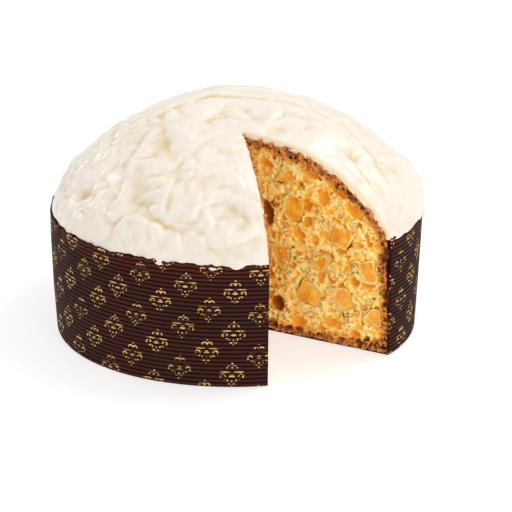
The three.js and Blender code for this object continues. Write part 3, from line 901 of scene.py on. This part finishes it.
def torn_plane(cut, shell, seed):
    """The knife's plane, torn in lumps of several sizes, and in flakes at the crust."""
    u, v, w = np.meshgrid(*SLAB_AXES, indexing="ij", sparse=True)
    flat = (*SLAB_SHAPE[:2], 1)
    plane = 0.5 * box_noise(flat, CELL, 11, seed) + 0.5 * box_noise(flat, CELL, 4.2, seed + 1) + 0.3
    crags = box_noise(SLAB_SHAPE, CELL, 2.5, seed + 4)
    crags = crags + 0.75 * box_noise(SLAB_SHAPE, CELL, 1.3, seed + 5)
    torn = plane + 0.55 * box_noise(SLAB_SHAPE, CELL, (1.9, 1.9, 2.6), seed + 2)
    torn = torn + 0.4 * box_noise(SLAB_SHAPE, CELL, 1.15, seed + 6)
    # Under the glaze the crust stands out in crags, and beside the paper only on the right.
    crusty = ease((shell + 6.5) / 3.5)
    beside = 0.35 if cut is RIGHT_CUT else 0.0
    high = beside + (1 - beside) * ease((v - 62) / 6)
    torn = torn + high * crusty * (2.7 * crags - 1.1)
    # Its flakes lap over the cut edge of the glaze.
    flakes = 0.4 + ease((v - 58) / 8) * np.maximum(1.2 - 1.9 * crags, 0)
    field = np.maximum(shell - flakes * ease((0.6 - w) / 1.2), torn - w)
    return plane, np.maximum(field, SLAB_LOW[0] + 1.2 - u)


class Slab:
    """The cells behind one cut, and marks for the material."""

    def __init__(self, cut, seed):
        self.cut = cut
        self.shell = loaf_distance(cut)
        self.plane, self.field = torn_plane(cut, self.shell, seed)
        self.marks = {key: np.zeros(SLAB_SHAPE, np.float32) for key in ("pit", "hole", "burnt")}


print("cells in a slab:", SLAB_SHAPE)

# %% [markdown]
# Pores, holes and the pockets of the fruit are all taken out by one tool. It also marks the
# cells beside what it takes out: how deep in a pore they lie, whether the hole is a large
# smooth one, and whether it is a deep one that gets painted shade. Gas bubbles are drawn out a
# little as the dough rises.

# %% Taking out holes and bubbles
def carve(slab, middle, matrix, half, power, marks):
    """Takes an ellipsoid or a blunt box out; matrix turns (u, v, w) to its axes."""
    reach = np.abs(matrix.T) @ half + 2 * CELL
    start = np.floor((middle - reach - SLAB_LOW) / CELL).astype(int)
    stop = np.ceil((middle + reach - SLAB_LOW) / CELL).astype(int) + 1
    start, stop = np.clip(start, 0, SLAB_SHAPE), np.clip(stop, 0, SLAB_SHAPE)
    if np.any(start >= stop):
        return
    box = tuple(slice(a, b) for a, b in zip(start, stop))
    du, dv, dw = np.ix_(*(SLAB_AXES[k][box[k]] - middle[k] for k in range(3)))
    turned = [row[0] * du + row[1] * dv + row[2] * dw for row in matrix]
    norm = sum(np.abs(t / h) ** power for t, h in zip(turned, half)) ** (1 / power)
    size = half.min()
    slab.field[box] = np.maximum(slab.field[box], size * (1 - norm))
    near = np.clip(1.25 - np.abs(norm - 1) * size / 0.9, 0, 1)
    for key, mark in marks.items():
        slab.marks[key][box] = np.maximum(slab.marks[key][box], near * mark)


def bubbles(slab, random, count, smallest, largest, stretch, deepest, smooth):
    """Scattered bubbles near the torn plane, each a little longer one way."""
    size = smallest + (largest - smallest) * random.random(count) ** 2
    spots = random.random((count, 3)) * [110, 124, deepest] + [-2, 0, 0]
    turns = random.uniform(0, np.pi, count)
    tilts = random.uniform(-0.5, 0.5, count)
    for radius, spot, angle, tilt in zip(size, spots, turns, tilts):
        i = tuple(np.clip(((spot - SLAB_LOW) / CELL).astype(int), 0, SLAB_SHAPE - 1))
        if slab.shell[i] > -0.8 * radius - 0.8:
            continue
        spot[2] += slab.plane[i[0], i[1], 0] - 0.2
        c, s = np.cos(angle), np.sin(angle)
        matrix = np.array([[c, s, tilt], [-s, c, 0], [-tilt * c, -tilt * s, 1]])
        half = radius * np.array([stretch, 1 / stretch**0.5, 1.0])
        carve(slab, spot, matrix, half, 2, {"pit": min(1, 0.35 + radius * 0.35), "hole": smooth})


BUBBLES = [
    # how many, smallest and largest radius, stretch, deepest, smoothness
    (5000, 0.6, 1.0, 1.35, 1.2, 0.0),
    (560, 1.0, 1.9, 1.45, 2.4, 0.1),
    (45, 1.9, 3.2, 1.3, 4, 0.6),
]
print("the smallest bubble is", 2 * BUBBLES[0][1] / CELL, "cells across")

# %% [markdown]
# A bubble that the tear didn't open shows nowhere, so it stays filled and costs no faces. The
# air runs in from the front, and what it can't reach is closed. The back of the slab is left
# open, because the core of the loaf stands there.

# %% Closed bubbles and the surface of a slab
def spread(seen, air):
    """Lets the outside air run on into every bubble that is open to it."""
    while True:
        before = seen.sum()
        for axis in range(3):
            near, far = [slice(None)] * 3, [slice(None)] * 3
            near[axis], far[axis] = slice(None, -1), slice(1, None)
            near, far = tuple(near), tuple(far)
            seen[far] |= seen[near] & air[far]
            seen[near] |= seen[far] & air[near]
        if seen.sum() == before:
            return seen


def close_unseen(slab):
    """Bubbles that no air reaches stay closed, and the slab ends towards the core."""
    air = slab.field > 0
    seen = np.zeros(SLAB_SHAPE, bool)
    seen[:, :, 0] = air[:, :, 0]
    slab.field[air & ~spread(seen, air)] = -0.3
    slab.field = np.maximum(slab.field, SLAB_AXES[2] - SLAB_DEPTH)


def slab_surface(slab):
    """Points, quads and values for the material, without the back that is never seen."""
    points, quads, cells = surface_net(slab.field, CELL)
    if np.cross(slab.cut.u, slab.cut.v) @ slab.cut.w < 0:
        quads = quads[:, ::-1]
    local = points + SLAB_LOW
    pick = tuple(cells.T)
    behind = local[:, 2] > np.where(slab.shell[pick] > -0.8, 5.0, SLAB_DEPTH - 0.5)
    quads = quads[~behind[quads].all(1)]
    depth = np.clip((local[:, 2] - slab.plane[cells[:, 0], cells[:, 1], 0]) / 3.0, -0.5, 1)
    values = {key: mark[pick] for key, mark in slab.marks.items()}
    values["pit"] = np.clip(values["pit"] * 0.5 + depth, -0.5, 1)
    values["under_crust"] = -slab.shell[pick]
    world = slab.cut.to_world(*local.T)
    world[:, 2] = np.maximum(world[:, 2], 0.2)
    world, quads, *kept = drop_unused(world, [quads], *values.values())
    return world, quads, dict(zip(values, kept))


row_of_air = np.array([1, 1, 0, 1], bool).reshape(4, 1, 1)
start_of_air = np.array([1, 0, 0, 0], bool).reshape(4, 1, 1)
print("the air reaches", spread(start_of_air, row_of_air).sum(), "of 4 cells")

# %% [markdown]
# Then both slabs are filled: thousands of fine pores near the torn plane, hundreds of larger
# ones, the holes of the table and a pocket for each cube, a little smaller than the cube so
# that the bread grips it.

# %% The torn crumb
def crumb_slab(name, cut, pears, holes, first, seed):
    slab = Slab(cut, seed)
    random = np.random.default_rng(seed + 9)
    for row in BUBBLES:
        bubbles(slab, random, *row)
    for distance, height, wide, tall, deep, degrees in holes:
        spot = cut_spot(cut, distance, height, 0.2 * deep) - TIP_FOOT
        middle = np.array([spot @ cut.u, spot @ cut.v, spot @ cut.w])
        c, s = np.cos(np.radians(degrees)), np.sin(np.radians(degrees))
        matrix = np.array([[c, s, 0], [-s, c, 0], [0, 0, 1.0]])
        half = np.array([wide / 2, tall / 2, min(deep, 7)])
        # The deepest holes on the right are marked for painted shade.
        burnt = float(cut is RIGHT_CUT and deep == SHADED_HOLE_DEPTH)
        carve(slab, middle, matrix, half, 2, {"pit": 1.0, "hole": 1.0, "burnt": burnt})
    to_cut = np.stack([cut.u, cut.v, cut.w], 1)
    for i, row in enumerate(pears):
        spot, cube_axes, half = cube_frame(cut, row, first + i)
        middle = (spot - TIP_FOOT) @ to_cut + random.uniform(-0.4, 0.4, 3) * [1, 1, 0]
        carve(slab, middle, cube_axes.T @ to_cut, half - 0.35, BLUNT, {"pit": 0.3, "hole": 0.8})
    close_unseen(slab)
    world, quads, values = slab_surface(slab)
    return make_piece(name, world, quads, ["loaf"], values)


crumb_right = crumb_slab("crumb_right", RIGHT_CUT, PEARS_RIGHT, HOLES_RIGHT, 20, 100)
crumb_left = crumb_slab("crumb_left", LEFT_CUT, PEARS_LEFT, HOLES_LEFT, 0, 200)

# %% [markdown]
# Behind the slabs the loaf goes on as a plain coarse body, which fills the case and carries
# the glaze. It stands back from the knife's planes, so the finest pores never reach it.

# %% The core of the loaf
CORE_CELL = 4.0
CORE_BACK = 7.5
low = np.array([-105.0, -105, -2])
counts = (np.array([212, 212, 132]) / CORE_CELL).astype(int)
places = [low[k] + np.arange(counts[k]) * CORE_CELL for k in range(3)]
spots = np.stack(np.meshgrid(*places, indexing="ij"), -1)
behind = np.maximum(RIGHT_CUT.depth(spots), LEFT_CUT.depth(spots)) - CORE_BACK
core_field = np.maximum(bread_distance(spots), -behind)
points, quads, cells = surface_net(core_field, CORE_CELL)
core = make_piece(
    "crumb_core", points + low, quads, ["loaf"],
    {"under_crust": np.full(len(points), 0.5), "pit": np.zeros(len(points))},
)

# %% [markdown]
# ## Candied pear
# The cubes are made finely, from the same table as their pockets. Points that would stand
# in the gap are moved back to the knife's plane, which gives each cube its flat, slightly
# rough cut face, marked for the material.

# %% The cubes of pear
def cube_sheet(steps):
    """Points and quads of a cube from -1 to 1, with its faces' grids joined at the edges."""
    t = np.linspace(-1, 1, steps + 1)
    a, b = np.meshgrid(t, t, indexing="ij")
    points, quads, offset = [], [], 0
    grid = np.arange((steps + 1) ** 2).reshape(steps + 1, steps + 1)
    for axis in range(3):
        for sign in (-1, 1):
            sheet = np.zeros((*a.shape, 3))
            sheet[..., axis] = sign
            sheet[..., (axis + 1) % 3], sheet[..., (axis + 2) % 3] = a, b
            points.append(sheet.reshape(-1, 3))
            q = sheet_quads(grid) + offset
            quads.append(q if sign > 0 else q[:, ::-1])
            offset += a.size
    points, quads = np.concatenate(points), np.concatenate(quads)
    key = np.round(points * 1000).astype(int)
    _, kept, number = np.unique(key, axis=0, return_index=True, return_inverse=True)
    return points[kept], number.ravel()[quads]


cube_points, cube_quads = cube_sheet(18)
for side_name, (cut, rows, first) in SIDES.items():
    for i, row in enumerate(rows):
        number = first + i
        middle, axes, half = cube_frame(cut, row, number)
        x, y, z = cube_points.T
        blunt = 1 / (np.abs(cube_points) ** BLUNT).sum(1) ** (1 / BLUNT)
        swollen = 1 + 0.07 * np.sin(3.1 * x + number) * np.cos(2.3 * y - 2 * number + z)
        shaped = cube_points * (blunt * swollen)[:, None] * (half - 0.1)
        shaped += 0.65 * noise(cube_points + 3 * number, 0.7, 40)[:, None] * cube_points
        world = middle + shaped @ axes.T
        depth = cut.depth(world)
        face = 0.9 + 1.0 * noise(world, 5.0, 41) + 0.3 * noise(world, 1.5, 42)
        lost = np.maximum(face - depth, 0)
        world = world + lost[:, None] * cut.w
        solid = f"pear_{side_name}_{i + 1:02d}"
        share = ((np.abs((world - middle) @ axes / half) ** BLUNT).sum(1)) ** (1 / BLUNT)
        # Nearness to the cube's rim, for a painted glow of light through the thin edge.
        rim = np.clip((share - 0.5) / 0.5, 0, 1)
        marks = {"cut_face": (lost > 0).astype(float), "pear_rim": rim}
        name = solid.replace("pear", "cube")
        make_piece(name, world, cube_quads, [solid], marks)

# %% [markdown]
# ## Materials
# A material's colour is worked out from noises and from the values kept on the meshes. One
# small class wraps a socket, so that this can be written as sums and products.

# %% Sockets that do maths
class Shade:
    """A socket of a material; Python's signs on it add Math nodes."""

    def __init__(self, tree, socket):
        self.tree, self.socket = tree, socket

    def node(self, kind, settings, inputs, output=0):
        """Adds any node: first its settings, then the values or links of its sockets."""
        node = self.tree.nodes.new("ShaderNode" + kind)
        for key, value in settings.items():
            setattr(node, key, value)
        for key, value in inputs.items():
            if isinstance(value, Shade):
                self.tree.links.new(value.socket, node.inputs[key])
            else:
                node.inputs[key].default_value = value
        return Shade(self.tree, node.outputs[output]) if node.outputs else None

    def math(self, operation, *values):
        return self.node("Math", {"operation": operation}, dict(enumerate(values)))

    def __add__(self, other):
        return self.math("ADD", self, other)

    def __sub__(self, other):
        return self.math("SUBTRACT", self, other)

    def __rsub__(self, other):
        return self.math("SUBTRACT", other, self)

    def __mul__(self, other):
        return self.math("MULTIPLY", self, other)

    def __truediv__(self, other):
        return self.math("DIVIDE", self, other)

    def __pow__(self, other):
        return self.math("POWER", self, other)

    def __abs__(self):
        return self.math("ABSOLUTE", self)

    __radd__, __rmul__ = __add__, __mul__

    def step(self, low, high):
        """0 below low, 1 above high and smooth between; turned round where low is the larger."""
        return self.node(
            "MapRange",
            {"interpolation_type": "SMOOTHSTEP"},
            {"Value": self, "From Min": low, "From Max": high},
        )

    def mix(self, first, second):
        """A colour between two, by this mask."""
        sockets = {"Factor": self, 6: first, 7: second}
        return self.node("Mix", {"data_type": "RGBA"}, sockets, 2)

    def noise(self, place, scale, detail=3):
        return self.node("TexNoise", {}, {"Vector": place, "Scale": scale, "Detail": detail})


print("signs and steps that add nodes:", len([key for key in vars(Shade) if callable(getattr(Shade, key))]))

# %% [markdown]
# Each finish starts with an empty tree of nodes and ends in one Principled surface. Colours are
# written as they would be read off a screen.

# %% Start and end of a finish
def rgb(red, green, blue):
    """A colour as read off a screen, 0 to 255, as linear light."""
    c = np.array([red, green, blue]) / 255
    return (*np.where(c <= 0.04045, c / 12.92, ((c + 0.055) / 1.055) ** 2.4), 1.0)


def new_material(name):
    """A material without nodes, a start for them and the place on the object, in metres."""
    material = bpy.data.materials.new(name)
    material.use_nodes = True
    tree = material.node_tree
    tree.nodes.clear()
    start = Shade(tree, None)
    place = start.node("TexCoord", {}, {}, "Object")
    return material, start, place


def attribute(start, name):
    """One of the values kept on the meshes."""
    return start.node("Attribute", {"attribute_name": name}, {}, "Fac")


def finish_material(material, start, **sockets):
    sockets = {key.replace("_", " "): value for key, value in sockets.items()}
    surface = start.node("BsdfPrincipled", {}, sockets)
    start.node("OutputMaterial", {}, {"Surface": surface})
    print(f"{material.name}: {len(material.node_tree.nodes)} nodes")
    return material


print("white as linear light:", rgb(255, 255, 255))

# %% [markdown]
# ## The glaze's finish
# Set sugar glaze is nearly white, a little translucent and satin. In the hollows between the
# lumps its colour is painted cream, darker and warmer: painted shade.

# %% Icing material
material, start, place = new_material("icing")
hollow = attribute(start, "hollow")
edge = attribute(start, "cut_edge")
cloud = start.noise(place, 34, 4)
streaks = start.noise(place, 120, 3)
# Painted shade in the hollows, mixed with random cloud and streaks of cream tone.
tint_and_hollow_shade = (hollow * 1.1 + (cloud - 0.5) * 1.5 + (streaks - 0.5) * 0.9 + 0.15).step(0.0, 1.3)
color = tint_and_hollow_shade.mix(rgb(223, 215, 203), rgb(209, 187, 142))
color = (edge * 0.6).mix(color, rgb(240, 216, 174))
grain = start.noise(place, 330, 3)
bump = start.node("Bump", {}, {"Strength": 0.3, "Distance": 0.0005, "Height": grain})
icing_finish = finish_material(
    material, start, Base_Color=color, Roughness=(cloud * 0.24 + 0.18), Normal=bump,
    Subsurface_Weight=0.2, Subsurface_Radius=(1.0, 0.75, 0.5), Subsurface_Scale=0.002, IOR=1.45,
)

# %% [markdown]
# ## The crumb's finish
# The dough is yellow with eggs and butter. Light runs through its thin walls, so its pores
# glow deep yellow and its raised edges are pale. That glow and the shade in the pores are
# painted into the colour: deeper yellow the deeper a point lies in a pit. The finest foam is
# too small for the mesh, so it is a pattern of cells in colour and relief, whose pores are
# painted deeper yellow too. Towards the crust the crumb is tanned.

# %% Crumb material
material, start, place = new_material("crumb")
pit = attribute(start, "pit")
hole = attribute(start, "hole")
burnt = attribute(start, "burnt")
under = attribute(start, "under_crust")
mottle = start.noise(place, 170, 3)
blotch = start.noise(place, 520, 2)
foam = start.node("TexVoronoi", {"feature": "DISTANCE_TO_EDGE"}, {"Vector": place, "Scale": 560.0})
pore = foam.step(0.03, 0.3) * (1 - hole)
# Painted glow and shade: deeper yellow in pits and in the pattern's pores, with random mottle.
deep = (pit * 0.8 + pore * 0.4 + (mottle - 0.5) * 0.8).step(-0.1, 1.2)
color = deep.mix(rgb(255, 232, 156), rgb(252, 184, 40))
color = (hole * 0.7).mix(color, rgb(247, 178, 32))
# Painted shade: dark brown inside the two deep holes.
color = (burnt * 0.85).mix(color, rgb(160, 72, 6))
ragged = under + (mottle - 0.5) * 3.4 + (blotch - 0.5) * 2.0
tan = ragged.step(7.4, 4.6)
color = (tan * 0.8).mix(color, rgb(236, 160, 56))
bump = start.node("Bump", {}, {"Strength": 0.3, "Distance": 0.0006, "Height": blotch * 0.6 - pore})
crumb_finish = finish_material(
    material, start, Base_Color=color, Roughness=(0.7 - hole * 0.3), Normal=bump,
    Subsurface_Weight=0.85, Subsurface_Radius=(1.0, 0.95, 0.7), Subsurface_Scale=0.003, IOR=1.4,
)

# %% [markdown]
# ## The crust's finish
# The crust under the glaze and along the case is another stuff: brown, dry and flaky, and no
# light passes through it, so it gets a finish of its own.

# %% Crust material
material, start, place = new_material("crust")
pit = attribute(start, "pit")
under = attribute(start, "under_crust")
flakes = start.noise(place, 620, 3)
patches = start.noise(place, 190, 2)
# Flakes lighter and gaps darker by noise: partly uneven browning, partly painted highlight and shade.
# Darker deeper in a pit: painted shade.
light = ((flakes - 0.5) * 2.8 + (patches - 0.5) * 1.4 - pit * 0.6 + 0.5).step(-0.1, 1.0)
color = light.mix(rgb(88, 30, 4), rgb(214, 128, 38))
color = (under.step(3.0, 5.6) * 0.7).mix(color, rgb(214, 134, 34))
bump = start.node("Bump", {}, {"Strength": 0.8, "Distance": 0.0006, "Height": flakes})
crust_finish = finish_material(
    material, start, Base_Color=color, Roughness=(0.75 - patches * 0.3), Normal=bump,
)

# %% [markdown]
# Baking browns the dough to an uneven depth. So the crust's finish goes on the faces of the
# slabs that lie near the loaf's surface, with a ragged border, and on the core behind them.

# %% Crust on the slabs
CRUST_THICKNESS = 4.4


def near_crust(mesh):
    """1 for the faces of a slab that are crust, 0 for crumb."""
    under = np.zeros(len(mesh.vertices), np.float32)
    spots = np.zeros(len(mesh.vertices) * 3, np.float32)
    corners = np.zeros(len(mesh.loops), np.int32)
    first = np.zeros(len(mesh.polygons), np.int32)
    mesh.attributes["under_crust"].data.foreach_get("value", under)
    mesh.vertices.foreach_get("co", spots)
    mesh.loops.foreach_get("vertex_index", corners)
    mesh.polygons.foreach_get("loop_start", first)
    places = spots.reshape(-1, 3) / MM
    ragged = under + 2.0 * noise(places, 2.6, 51) + 1.3 * noise(places, 7, 52)
    return (ragged[corners[first]] < CRUST_THICKNESS).astype(np.int32)


for slab in (crumb_right, crumb_left):
    slab.data.materials.append(crumb_finish)
    slab.data.materials.append(crust_finish)
    browned = near_crust(slab.data)
    slab.data.polygons.foreach_set("material_index", browned)
    print(slab.name, "share of crust:", browned.mean().round(2))
core.data.materials.append(crust_finish)

# %% [markdown]
# ## The candied pear's finish
# Pear boiled in sugar is amber, glossy and translucent. Where the knife went through, its
# flesh shows: grainy and paler, and paler still towards the rim, where a glow of light through
# the thin edge is painted.

# %% Candied pear material
material, start, place = new_material("candied_pear")
cut_face = attribute(start, "cut_face")
grain = start.noise(place, 420, 3)
cloud = start.noise(place, 190, 2)
rim = attribute(start, "pear_rim")
color = cloud.step(0.25, 0.75).mix(rgb(247, 194, 72), rgb(226, 146, 10))
# Painted glow towards the rim of the cut face; the cloud and grain are the flesh's own tone.
flesh_and_rim_glow = rim.step(0.45, 1.0) * 0.75 + (cloud - 0.5) * 1.3 + (grain - 0.5) * 1.0
color = (cut_face * flesh_and_rim_glow.step(0.0, 0.9) * 0.8).mix(color, rgb(253, 226, 144))
bump = start.node("Bump", {}, {"Strength": 0.9, "Distance": 0.0009, "Height": grain})
pear_finish = finish_material(
    material, start, Base_Color=color, Roughness=(0.14 + (cloud - 0.5) * 0.15), Normal=bump,
    Subsurface_Weight=0.5, Subsurface_Radius=(1.0, 0.7, 0.3), Subsurface_Scale=0.003, IOR=1.45,
)

# %% [markdown]
# ## The paper's finish
# The case is dark brown baking paper with small gold ornaments in a staggered lattice, one in
# each field of a few ribs. The print runs round the wall, so its place is worked out from the
# angle and the height, and each field has its own flat measures in millimetres. The seam of
# the angle lies in the gap of the wedge. The columns lean a little, as pressed paper does.

# %% Fields of the print
FIELD_ANGLE = 7.64
FIELD_WIDTH = 13.85
FIELD_HEIGHT = 23.8
FIRST_COLUMN, FIRST_ROW = 90.4, 30.3
COLUMN_DROP = 1.5
SEAM_TURN = 122.0
LEAN, LEAN_FROM = 0.115, 79.0

material, start, place = new_material("paper")
groove = attribute(start, "groove")
xyz = start.node("SeparateXYZ", {}, {"Vector": place})
x = Shade(start.tree, xyz.socket.node.outputs["X"])
y = Shade(start.tree, xyz.socket.node.outputs["Y"])
z = Shade(start.tree, xyz.socket.node.outputs["Z"]) * 1000
turned = np.radians(SEAM_TURN)
angle = start.math("ARCTAN2", y * float(np.cos(turned)) - x * float(np.sin(turned)),
                   x * float(np.cos(turned)) + y * float(np.sin(turned)))
azimuth = angle * float(180 / np.pi) - (360.0 - SEAM_TURN)
lean = start.math("SINE", (azimuth + LEAN_FROM) * float(np.pi / 180)) * LEAN
azimuth = azimuth + lean * (z - 30)
column = (azimuth + FIRST_COLUMN) / FIELD_ANGLE
nearest = start.math("ROUND", column)
across = (column - nearest) * FIELD_WIDTH
odd = abs(start.math("MODULO", nearest, 2.0))
level = (z - FIRST_ROW + nearest * COLUMN_DROP - odd * (FIELD_HEIGHT / 2)) / FIELD_HEIGHT
up = (level - start.math("ROUND", level)) * FIELD_HEIGHT
aside = abs(across)
print("fields round the case:", round(360 / FIELD_ANGLE))

# %% [markdown]
# The ornament is a small stylised flower, the same on the left and right. It is drawn with
# soft spots and arcs, so it needs no picture and stays sharp from near by.

# %% One ornament
def dot(cx, cy, rx, ry=None, soft=0.3):
    """A spot with its middle at (cx, cy), mirrored to both sides."""
    ry = ry or rx
    d = ((aside - cx) / rx) ** 2.0 + ((up - cy) / ry) ** 2.0
    return (d**0.5).step(1 + soft, 1 - soft)


def arc(cx, cy, rx, ry, thick):
    """A ring with its middle at (cx, cy), mirrored to both sides."""
    d = (((aside - cx) / rx) ** 2.0 + ((up - cy) / ry) ** 2.0) ** 0.5
    return abs(d - 1.0).step(thick * 1.4, thick * 0.6)


def together(*masks):
    total = masks[0]
    for mask in masks[1:]:
        total = start.math("MAXIMUM", total, mask)
    return total


fleuron = together(
    dot(0, 7.4, 0.5),
    arc(1.35, 4.8, 1.3, 1.3, 0.26) * up.step(4.5, 4.9),
    dot(3.5, 2.5, 2.5, 0.3),
    arc(4.7, 0.0, 1.25, 1.25, 0.26) * up.step(-0.3, 0.1),
    dot(5.8, -0.5, 0.45),
    dot(0, 0, 1.5, 0.5),
    dot(0, 1.0, 0.8, 0.25),
    dot(3.7, -1.8, 0.75, 0.3),
    dot(2.2, -2.4, 0.32, 0.65),
    dot(0, -2.9, 0.5, 0.4),
    dot(1.2, -4.4, 0.75, 0.33),
    dot(0, -5.6, 0.35),
)
print("nodes of the print so far:", len(material.node_tree.nodes))

# %% [markdown]
# The gold shows on the crests of the ribs, a little worn. The grooves between them are painted
# nearly black over the gold, which is painted shade under each rib, and the baked rim is redder.

# %% Paper material
# Crests outside the painted groove shade, where the gold shows.
lit_crest = groove.step(0.75, 0.35)
worn = start.noise(place, 900, 2).step(0.3, 0.5)
gold = fleuron * lit_crest * worn
mottle = start.noise(place, 60, 3)
color = mottle.mix(rgb(55, 24, 20), rgb(70, 35, 30))
near_rim = (z + mottle * 6).step(60, 74)
color = (near_rim * 0.5).mix(color, rgb(96, 36, 22))
# Painted shade: the grooves under the ribs nearly black.
color = (groove.step(0.08, 0.62) * 0.95).mix(color, rgb(16, 6, 5))
color = (gold * 0.95).mix(color, rgb(224, 186, 112))
fibres = start.noise(place, 1400, 2)
bump = start.node("Bump", {}, {"Strength": 0.12, "Distance": 0.0003, "Height": fibres})
paper_finish = finish_material(
    material, start, Base_Color=color, Roughness=(0.6 - gold * 0.2), Metallic=(gold * 0.35),
    Normal=bump, Specular_IOR_Level=0.05,
)

# %% [markdown]
# The crumb has its finishes already. The other pieces get theirs by the first word of their
# names.

# %% Dress the other pieces
FINISHES = {"glaze": icing_finish, "baking": paper_finish, "cube": pear_finish}
dressed = 0
for piece in bpy.context.scene.objects:
    kind = piece.name.split("_")[0]
    if piece.type == "MESH" and kind in FINISHES:
        piece.data.materials.append(FINISHES[kind])
        dressed += 1
print("dressed:", dressed, "pieces")

# %% [markdown]
# ## Floor
# The loaf stands on a white sweep, so bright that only a soft shadow shows. The floor glows a
# little, because more light on it would be too much for the glaze.

# %% Floor
mesh = bpy.data.meshes.new("floor")
mesh.from_pydata([(-6, -6, 0), (6, -6, 0), (6, 8, 0), (-6, 8, 0)], [], [(0, 1, 2, 3)])
floor = bpy.data.objects.new("floor", mesh)
bpy.context.scene.collection.objects.link(floor)
floor.location.z = -0.0003
material, start, place = new_material("floor")
mesh.materials.append(finish_material(
    material, start, Base_Color=(0.4, 0.39, 0.385, 1), Roughness=0.7,
    Emission_Color=(1, 0.995, 0.99, 1), Emission_Strength=0.63,
))

# %% [markdown]
# ## Light
# Soft light comes from above, a little from the right and from behind, and white all round
# fills the shadows. An even white world and four square lamps do the same.

# %% Lights
LIT_SPOT = Vector((0, 0, 0.06))
LIGHTS = [
    # name, place, width, power, colour
    ("key", (0.55, 0.2, 1.0), 0.5, 5.4, (1, 0.985, 0.96)),
    ("fill_right", (0.5, -1.3, 0.5), 0.6, 5.0, (1, 0.99, 0.98)),
    ("fill_left", (-1.2, -1.0, 0.75), 0.8, 2.8, (1, 0.99, 0.98)),
    ("rim_left", (-1.0, 0.85, 0.65), 0.35, 2.2, (1, 0.995, 0.99)),
]

world = bpy.data.worlds.new("white")
bpy.context.scene.world = world
world.use_nodes = True
world.node_tree.nodes["Background"].inputs["Color"].default_value = (1, 1, 1, 1)
world.node_tree.nodes["Background"].inputs["Strength"].default_value = 0.8
for name, place, width, power, color in LIGHTS:
    light = bpy.data.lights.new(name, "AREA")
    light.shape, light.size, light.size_y = "RECTANGLE", width, width
    light.energy, light.color = power, color
    lamp = bpy.data.objects.new(name, light)
    lamp.location = place
    lamp.rotation_euler = (LIT_SPOT - Vector(place)).to_track_quat("-Z", "Y").to_euler()
    bpy.context.scene.collection.objects.link(lamp)
print("lamps:", len(LIGHTS), "with", round(sum(row[3] for row in LIGHTS), 1), "watts")

# %% [markdown]
# ## Camera
# A long lens looks down on the loaf by twenty degrees. Its distance, height and lens were
# fitted to the rim, the foot and the cut edges of the case.

# %% Camera
LOOKS_DOWN = 20.04
camera = bpy.data.cameras.new("camera")
camera.lens, camera.sensor_width, camera.sensor_fit = 170.16, 36.0, "HORIZONTAL"
viewer = bpy.data.objects.new("camera", camera)
viewer.location = (0.0110911, -1.2848975, 0.5059559)
viewer.rotation_euler = (np.radians(90 - LOOKS_DOWN), 0, 0)
bpy.context.scene.collection.objects.link(viewer)
bpy.context.scene.camera = viewer
bpy.context.scene.view_settings.view_transform = "Standard"
print("lens:", camera.lens, "mm")

# %% [markdown]
# ## Finish
